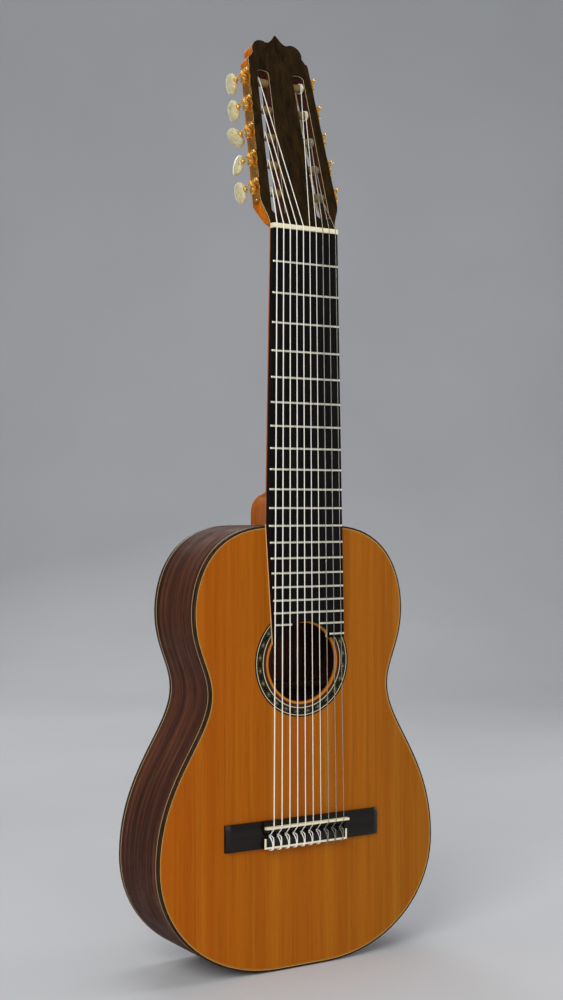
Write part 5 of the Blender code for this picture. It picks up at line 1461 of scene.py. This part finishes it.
def make_key(name, side, index):
    label = name + "_" + str(index + 1)
    body = "key_" + label
    origin, outward, along = tuner_frame(side, index)
    centre = origin + outward * GEAR_MIDDLE + along * CENTRE_DISTANCE
    x_axis = -along
    y_axis = HEAD_B.cross(x_axis)
    turn = math.radians(BUTTON_TURNS[index])

    def place(height, x, y):
        return centre + HEAD_B * height + x_axis * x + y_axis * y

    def button_place(height, x, y):
        return place(
            height, x * math.cos(turn) - y * math.sin(turn), x * math.sin(turn) + y * math.cos(turn),
        )

    half = WORM_TURNS * WORM_LEAD / 2
    below = [(TIP_LENGTH * share - TIP_REACH, TIP_RADIUS * radius) for share, radius in TIP_PROFILE]
    below += [(TIP_LENGTH - TIP_REACH, WORM_CORE_RADIUS), (-half - WORM_LEAD / 5, WORM_CORE_RADIUS)]
    above = [(half + WORM_LEAD / 5, WORM_CORE_RADIUS), (BUTTON_START - 0.0012, WORM_CORE_RADIUS)]
    for share, radius in ((-0.35, 1.35), (-0.10, 1.60), (0.10, 1.35)):
        above.append((BUTTON_START - 0.0008 + 0.0012 * share, WORM_CORE_RADIUS * radius))
    for share, radius in ((0.0, 0.80), (0.25, 1.0), (0.80, 0.98), (1.30, 0.70)):
        above.append((BUTTON_START + COLLAR_LENGTH * share, COLLAR_RADIUS * radius))
    rings = [ring_at(place, height, radius, WORM_SEGMENTS) for height, radius in below]
    steps = 16 * WORM_TURNS
    for step in range(steps + 1):
        fade = min(1.0, 4 * step / steps, 4 * (steps - step) / steps)
        rings.append(worm_ring(place, -half + step * WORM_LEAD * WORM_TURNS / steps, fade))
    rings += [ring_at(place, height, radius, WORM_SEGMENTS) for height, radius in above]
    add_loft(
        "worm_shaft_" + label, rings, "gold", "gilt_brass", body=body, nodes=["worm_" + label], smooth=45,
    )
    make_button(label, body, button_place)


def make_button(label, body, place):
    """A flat oval of pearl with a soft rim, waisted where it meets its collar."""
    start = BUTTON_START + COLLAR_LENGTH
    length = BUTTON_LENGTH - COLLAR_LENGTH
    rings = []
    for i in range(BUTTON_STEPS + 1):
        t = i / BUTTON_STEPS
        swell = math.sin(math.pi * t)
        inside = 0 < i < BUTTON_STEPS
        height = start + length * (1 - math.cos(math.pi * t)) / 2
        wide = BUTTON_HEIGHT / 2 * swell**0.72 if inside else BUTTON_HEIGHT * 0.03
        stem = BUTTON_HEIGHT * 0.17 * (1 - t) ** 6
        thick = BUTTON_THICK / 2 * (swell**0.45 if inside else 0.08)
        thick = thick * (0.80 - 0.22 * t) + COLLAR_RADIUS * 0.35 * (1 - t) ** 5
        ring = []
        for x, y in circle(1, 36):
            rim = math.copysign(abs(y) ** 0.62, y)
            ring.append(place(height, max(wide, stem) * x, thick * rim))
        rings.append(ring)
    nodes = ["button_" + label]
    add_loft("pearl_button_" + label, rings, "pearl", "pearl_plastic", body=body, nodes=nodes, smooth=60)


# Bridge


def bridge_up(height):
    return FRONT_Y - GAP - height


BRIDGE_TOP_Z = SADDLE_Z + BRIDGE_ABOVE_SADDLE
BRIDGE_LOW_Z = BRIDGE_TOP_Z - BRIDGE_LENGTH
TIE_Z = BRIDGE_LOW_Z + TIE_LENGTH


def make_bridge():
    ridge_z = BRIDGE_TOP_Z - SADDLE_RIDGE_LENGTH
    ridge = SADDLE_RIDGE_HEIGHT
    low = WING_HEIGHT - 0.0012
    tie = TIE_HEIGHT - INLAY_THICK
    profile = [(BRIDGE_TOP_Z, -GAP), (BRIDGE_TOP_Z, ridge - 0.0022), (BRIDGE_TOP_Z - 0.0008, ridge - 0.0007)]
    profile += [(BRIDGE_TOP_Z - 0.0022, ridge), (ridge_z + 0.0010, ridge), (ridge_z, ridge - 0.0012)]
    profile += [(ridge_z - 0.0014, WING_HEIGHT - 0.0002), (ridge_z - 0.0026, low), (TIE_Z, low)]
    profile += [(TIE_Z, tie), (BRIDGE_LOW_Z, tie), (BRIDGE_LOW_Z, -GAP)]
    ring = [Vector((-TIE_WIDTH / 2, bridge_up(h), z)) for z, h in profile]
    sections = prism(ring, Vector((TIE_WIDTH, 0, 0)))
    ob = add_loft("bridge_block", sections, "bridge", "rosewood", nodes=["bridge"], smooth=30)
    cuts = bmesh.new()
    y = bridge_up(TIE_HOLE_HEIGHT)
    spots = [saddle_x(n) for n in STRING_NUMBERS]
    for x in spots:
        cylinder_into(cuts, (x, y, BRIDGE_LOW_Z - 0.002), (x, y, TIE_Z + 0.002), TIE_HOLE_RADIUS)
    ob.data = combine(ob.data, cuts)
    for name, side in SIDES.items():
        sections = [wing_section(side * x, height) for x, height in wing_stations()]
        add_loft("bridge_wing_" + name, sections, "bridge", "rosewood", smooth=40)
    make_tie_block()
    half = SADDLE_THICK / 2
    top_y = bridge_up(SADDLE_TOP + 0.0001)
    seat_y = bridge_up(SADDLE_RIDGE_HEIGHT - 0.001)
    sections = grooved_bar(TIE_WIDTH / 2, SADDLE_Z - half, SADDLE_Z + half, top_y, seat_y, spots, 0.0002)
    add_loft("saddle_bone", sections, "bone", "bone", nodes=["saddle"], smooth=30)


def wing_stations():
    """Half-width and height of the wing's sections, out to its bevelled tip."""
    inner = TIE_WIDTH / 2 - 0.001
    outer = BRIDGE_WIDTH / 2
    shoulder = outer - WING_BEVEL
    drops = [(inner, 0.0), (inner + 0.020, 0.0002), (shoulder, 0.0)]
    drops += [(shoulder + 0.0022, 0.00015), (shoulder + 0.0030, 0.0004)]
    stations = [(x, WING_HEIGHT - drop) for x, drop in drops]
    return stations + [(outer - 0.0003, WING_TIP_HEIGHT), (outer, WING_TIP_HEIGHT - 0.0005)]


def wing_section(x, height):
    ring = [Vector((x, bridge_up(-GAP), BRIDGE_LOW_Z))]
    for t in (i / 10 for i in range(11)):
        arch = 0.0011 * (1 - math.sin(math.pi * t) ** 0.35)
        ring.append(Vector((x, bridge_up(height - arch), BRIDGE_LOW_Z + BRIDGE_LENGTH * t)))
    return ring + [Vector((x, bridge_up(-GAP), BRIDGE_TOP_Z))]


def make_tie_block():
    """Bone strips along the tie block's rear edge and across its ends, round a dark panel."""
    half = TIE_WIDTH / 2
    inner = half - INLAY_WIDTH
    strip_z = BRIDGE_LOW_Z + INLAY_WIDTH
    floor = TIE_HEIGHT - INLAY_THICK

    def place(u, v, w):
        return Vector((u, bridge_up(floor + w), v))

    for name, low_x, high_x, low_z, high_z, key, slot in (
        ("tie_bone_rear", -half, half, BRIDGE_LOW_Z, strip_z, "bone", "bone"),
        ("tie_bone_bass", -half, -inner, strip_z, TIE_Z, "bone", "bone"),
        ("tie_bone_treble", inner, half, strip_z, TIE_Z, "bone", "bone"),
        ("tie_panel", -inner, inner, strip_z, TIE_Z, "bridge", "rosewood"),
    ):
        loop = [(low_x, low_z), (high_x, low_z), (high_x, high_z), (low_x, high_z)]
        nodes = ["tie_block_inlay"] if name == "tie_bone_rear" else ()
        add_flat(name, [loop], INLAY_THICK, place, key, slot, 0.00025, nodes=nodes)


# Strings


def string_seat(number):
    if number > 5:
        return "bass", -1, 10 - number
    return "treble", 1, number - 1


def winding_centre(number):
    _, side, index = string_seat(number)
    origin, outward, _ = tuner_frame(side, index)
    share = index / (TUNERS_PER_SIDE - 1)
    return origin + outward * (WINDING_U_FIRST + (WINDING_U_LAST - WINDING_U_FIRST) * share)


def winding_axes(number):
    """Nut point, centre, direction there, outward radius and axis of a string's turns."""
    _, side, index = string_seat(number)
    radius = STRING_DIAMETERS[number - 1] / 2
    outward = tuner_frame(side, index)[1]
    centre = winding_centre(number)
    turn_radius = ROLLER_RADIUS + GAP * 0.4 + radius
    nut = Vector((nut_x(number), NUT_TOP_Y - GAP - radius, NUT_Z + NUT_THICK))
    touch = centre - HEAD_B * turn_radius
    for _ in range(4):
        heading = touch - nut
        heading -= outward * heading.dot(outward)
        heading.normalize()
        radial = heading.cross(outward).normalized()
        if radial.dot(HEAD_B) > 0:
            radial = -radial
        touch = centre + radial * turn_radius
    return nut, centre, heading, radial, turn_radius, outward


def winding_points(number):
    """The turns on the roller, and the end tucked into its hole."""
    _, centre, heading, radial, turn_radius, outward = winding_axes(number)
    advance = STRING_DIAMETERS[number - 1] + WINDING_SPACE
    points = []
    steps = int((WINDING_TURNS + 1.0) * WINDING_STEPS)
    for i in range(steps + 1):
        angle = 2 * math.pi * i / WINDING_STEPS
        arm = radial * math.cos(angle) + heading * math.sin(angle)
        points.append(centre + arm * turn_radius + outward * advance * angle / (2 * math.pi))
    last = points[-1]
    arm = (last - centre) - outward * (last - centre).dot(outward)
    inward = -arm.normalized()
    sweep = outward.cross(arm).normalized()
    if sweep.dot(points[-1] - points[-2]) < 0:
        sweep = -sweep
    points.append(last + sweep * 0.0012 + inward * 0.0006)
    points.append(last + sweep * 0.0018 + inward * 0.0024)
    return points


def string_points(number):
    """From the nut over the saddle, through the tie block and round itself."""
    diameter = STRING_DIAMETERS[number - 1]
    radius = diameter / 2
    nut = winding_axes(number)[0]
    x = saddle_x(number)
    saddle_y = bridge_up(SADDLE_TOP) - GAP * 0.2 - radius
    half = SADDLE_THICK / 2
    hole_y = bridge_up(TIE_HOLE_HEIGHT)
    over_y = bridge_up(TIE_HEIGHT) - GAP * 0.2 - radius
    points = [nut + Vector((0, 0.0002, -0.0004)), Vector((nut_x(number), nut.y, NUT_Z + 0.001))]
    points += [Vector((nut_x(number), nut.y, NUT_Z)), Vector((x, saddle_y, SADDLE_Z + half))]
    points += [Vector((x, saddle_y, SADDLE_Z - half * 0.2)), Vector((x, hole_y - 0.0012, TIE_Z + 0.0024))]
    loop = (
        (0.0, hole_y, TIE_Z + 0.0006),
        (0.0, hole_y, BRIDGE_LOW_Z - 0.0004),
        (0.20, hole_y - 0.0008, BRIDGE_LOW_Z - 0.0017),
        (0.70, over_y + 0.0014, BRIDGE_LOW_Z - 0.0013),
        (1.0, over_y, BRIDGE_LOW_Z + 0.0010),
        (1.0, over_y, TIE_Z - 0.0012),
        (0.75, over_y + 0.0013, TIE_Z + 0.0013),
        (0.10, hole_y - 0.0012 + diameter * 1.1, TIE_Z + 0.0028),
        (-0.45, hole_y - 0.0020, TIE_Z + 0.0026),
        (-0.35, over_y + 0.0010, TIE_Z + 0.0010),
        (0.05, over_y - diameter * 0.05, TIE_Z - 0.0022),
        (0.55, over_y, (TIE_Z + BRIDGE_LOW_Z) / 2),
        (0.62, over_y, BRIDGE_LOW_Z + 0.0016),
        (0.35, over_y + 0.0012, BRIDGE_LOW_Z - 0.0010),
    )
    return points + smooth_path([Vector((x + TIE_LOOP * share, y, z)) for share, y, z in loop], 6)


def make_strings():
    for number, diameter in enumerate(STRING_DIAMETERS, start=1):
        key, slot = ("nylon", "clear_nylon") if number <= NYLON_COUNT else ("wound", "silver_wound")
        bm = bmesh.new()
        points = list(reversed(winding_points(number))) + string_points(number)
        tube_into(bm, points, diameter / 2, sides=12, pitch=3.0)
        add_piece("string_run_" + str(number), bm, key, slot, nodes=["string_" + str(number)], smooth=70)


# Frame nodes that stay as they are


def finish_frame_nodes():
    for node, key in (
        ("soundboard_bracing", "spruce"), ("back_bracing", "spruce"), ("tail_block", "lining"),
    ):
        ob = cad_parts[node]
        ob.data.materials.clear()
        ob.data.materials.append(MATERIALS[key])


# Stage, light and camera


def make_stage():
    """A pale floor that curves up into a wall behind."""
    bpy.ops.mesh.primitive_plane_add(size=1, location=(0, 0, -0.0005))
    floor = bpy.context.object
    floor.name = "floor"
    profile = [(-6.0, 0.0), (WALL_START, 0.0)]
    for i in range(1, 13):
        angle = math.pi / 2 * i / 12
        profile.append((WALL_START + WALL_CURVE * math.sin(angle), WALL_CURVE * (1 - math.cos(angle))))
    profile.append((WALL_START + WALL_CURVE, 6.0))
    bm = bmesh.new()
    left, right = [[bm.verts.new((x, y, z)) for y, z in profile] for x in (-7.0, 7.0)]
    for i in range(len(profile) - 1):
        bm.faces.new((left[i], left[i + 1], right[i + 1], right[i]))
    bmesh.ops.recalc_face_normals(bm, faces=bm.faces)
    bm.to_mesh(floor.data)
    bm.free()
    floor.data.shade_smooth()
    mat, tree, shader = new_material("pale_floor", (0.62, 0.63, 0.65), 0.9, specular=0.2)
    cloud = noise(tree, object_coords(tree), 0.002, detail=2)
    paint(tree, shader, ramp(tree, cloud, [(0.3, (0.60, 0.61, 0.63)), (0.7, (0.64, 0.65, 0.67))]))
    floor.data.materials.append(mat)
    floor.rotation_euler[2] = CAMERA_AZIMUTH


def area_light(name, place, aim, size, power, colour=(1, 1, 1)):
    data = bpy.data.lights.new(name, "AREA")
    data.shape = "RECTANGLE"
    data.size = size[0]
    data.size_y = size[1]
    data.energy = power
    data.color = colour
    ob = bpy.data.objects.new(name, data)
    ob.location = place
    ob.rotation_euler = (Vector(aim) - Vector(place)).to_track_quat("-Z", "Y").to_euler()
    bpy.context.scene.collection.objects.link(ob)


def make_lights():
    middle = (0, 0, 0.5)
    area_light("key", (-1.9, -1.5, 1.7), middle, (1.4, 1.8), 44, (1.0, 0.97, 0.93))
    area_light("fill", (-0.2, -2.9, 0.6), middle, (1.4, 1.8), 17, (0.97, 0.98, 1.0))
    area_light("top", (0.2, 0.3, 2.6), middle, (1.6, 1.6), 14)
    area_light("rim", (0.5, 2.4, 1.7), middle, (1.2, 1.6), 14)
    area_light("side", (2.2, -0.45, 0.55), (0.1, FRONT_Y, 0.15), (0.6, 0.3), 14)
    world = bpy.data.worlds.new("studio")
    bpy.context.scene.world = world
    world.use_nodes = True
    background = world.node_tree.nodes["Background"]
    background.inputs["Color"].default_value = (0.80, 0.83, 0.88, 1)
    background.inputs["Strength"].default_value = 0.30


def make_camera():
    data = bpy.data.cameras.new("camera")
    data.sensor_fit = "VERTICAL"
    data.sensor_height = SENSOR_HEIGHT
    data.lens = FOCAL_PIXELS / IMAGE_HEIGHT * SENSOR_HEIGHT
    data.clip_start = 0.05
    data.clip_end = 50
    ob = bpy.data.objects.new("camera", data)
    bpy.context.scene.collection.objects.link(ob)
    a = CAMERA_AZIMUTH
    e = CAMERA_ELEVATION
    back = Vector((math.sin(a) * math.cos(e), -math.cos(a) * math.cos(e), math.sin(e)))
    right = (-back).cross(Vector((0, 0, 1))).normalized()
    up = right.cross(-back)
    r = CAMERA_ROLL
    tilted_right = right * math.cos(r) + up * math.sin(r)
    tilted_up = up * math.cos(r) - right * math.sin(r)
    place = Vector((CAMERA_AIM_X, FRONT_Y, CAMERA_AIM_Z)) + back * CAMERA_DISTANCE
    turn = Matrix((tilted_right, tilted_up, back)).transposed().to_4x4()
    ob.matrix_world = Matrix.Translation(place) @ turn
    bpy.context.scene.camera = ob


make_camera()
make_stage()
make_lights()
make_top()
make_bindings()
make_sides()
make_back()
make_rosette()
make_tail()
make_neck()
make_fingerboard()
make_nut()
make_head()
make_plates()
for tuner_name, tuner_side, tuner_index in all_tuners():
    make_roller(tuner_name, tuner_side, tuner_index)
    make_key(tuner_name, tuner_side, tuner_index)
make_bridge()
make_strings()
finish_frame_nodes()
bpy.context.scene.view_settings.view_transform = "Standard"
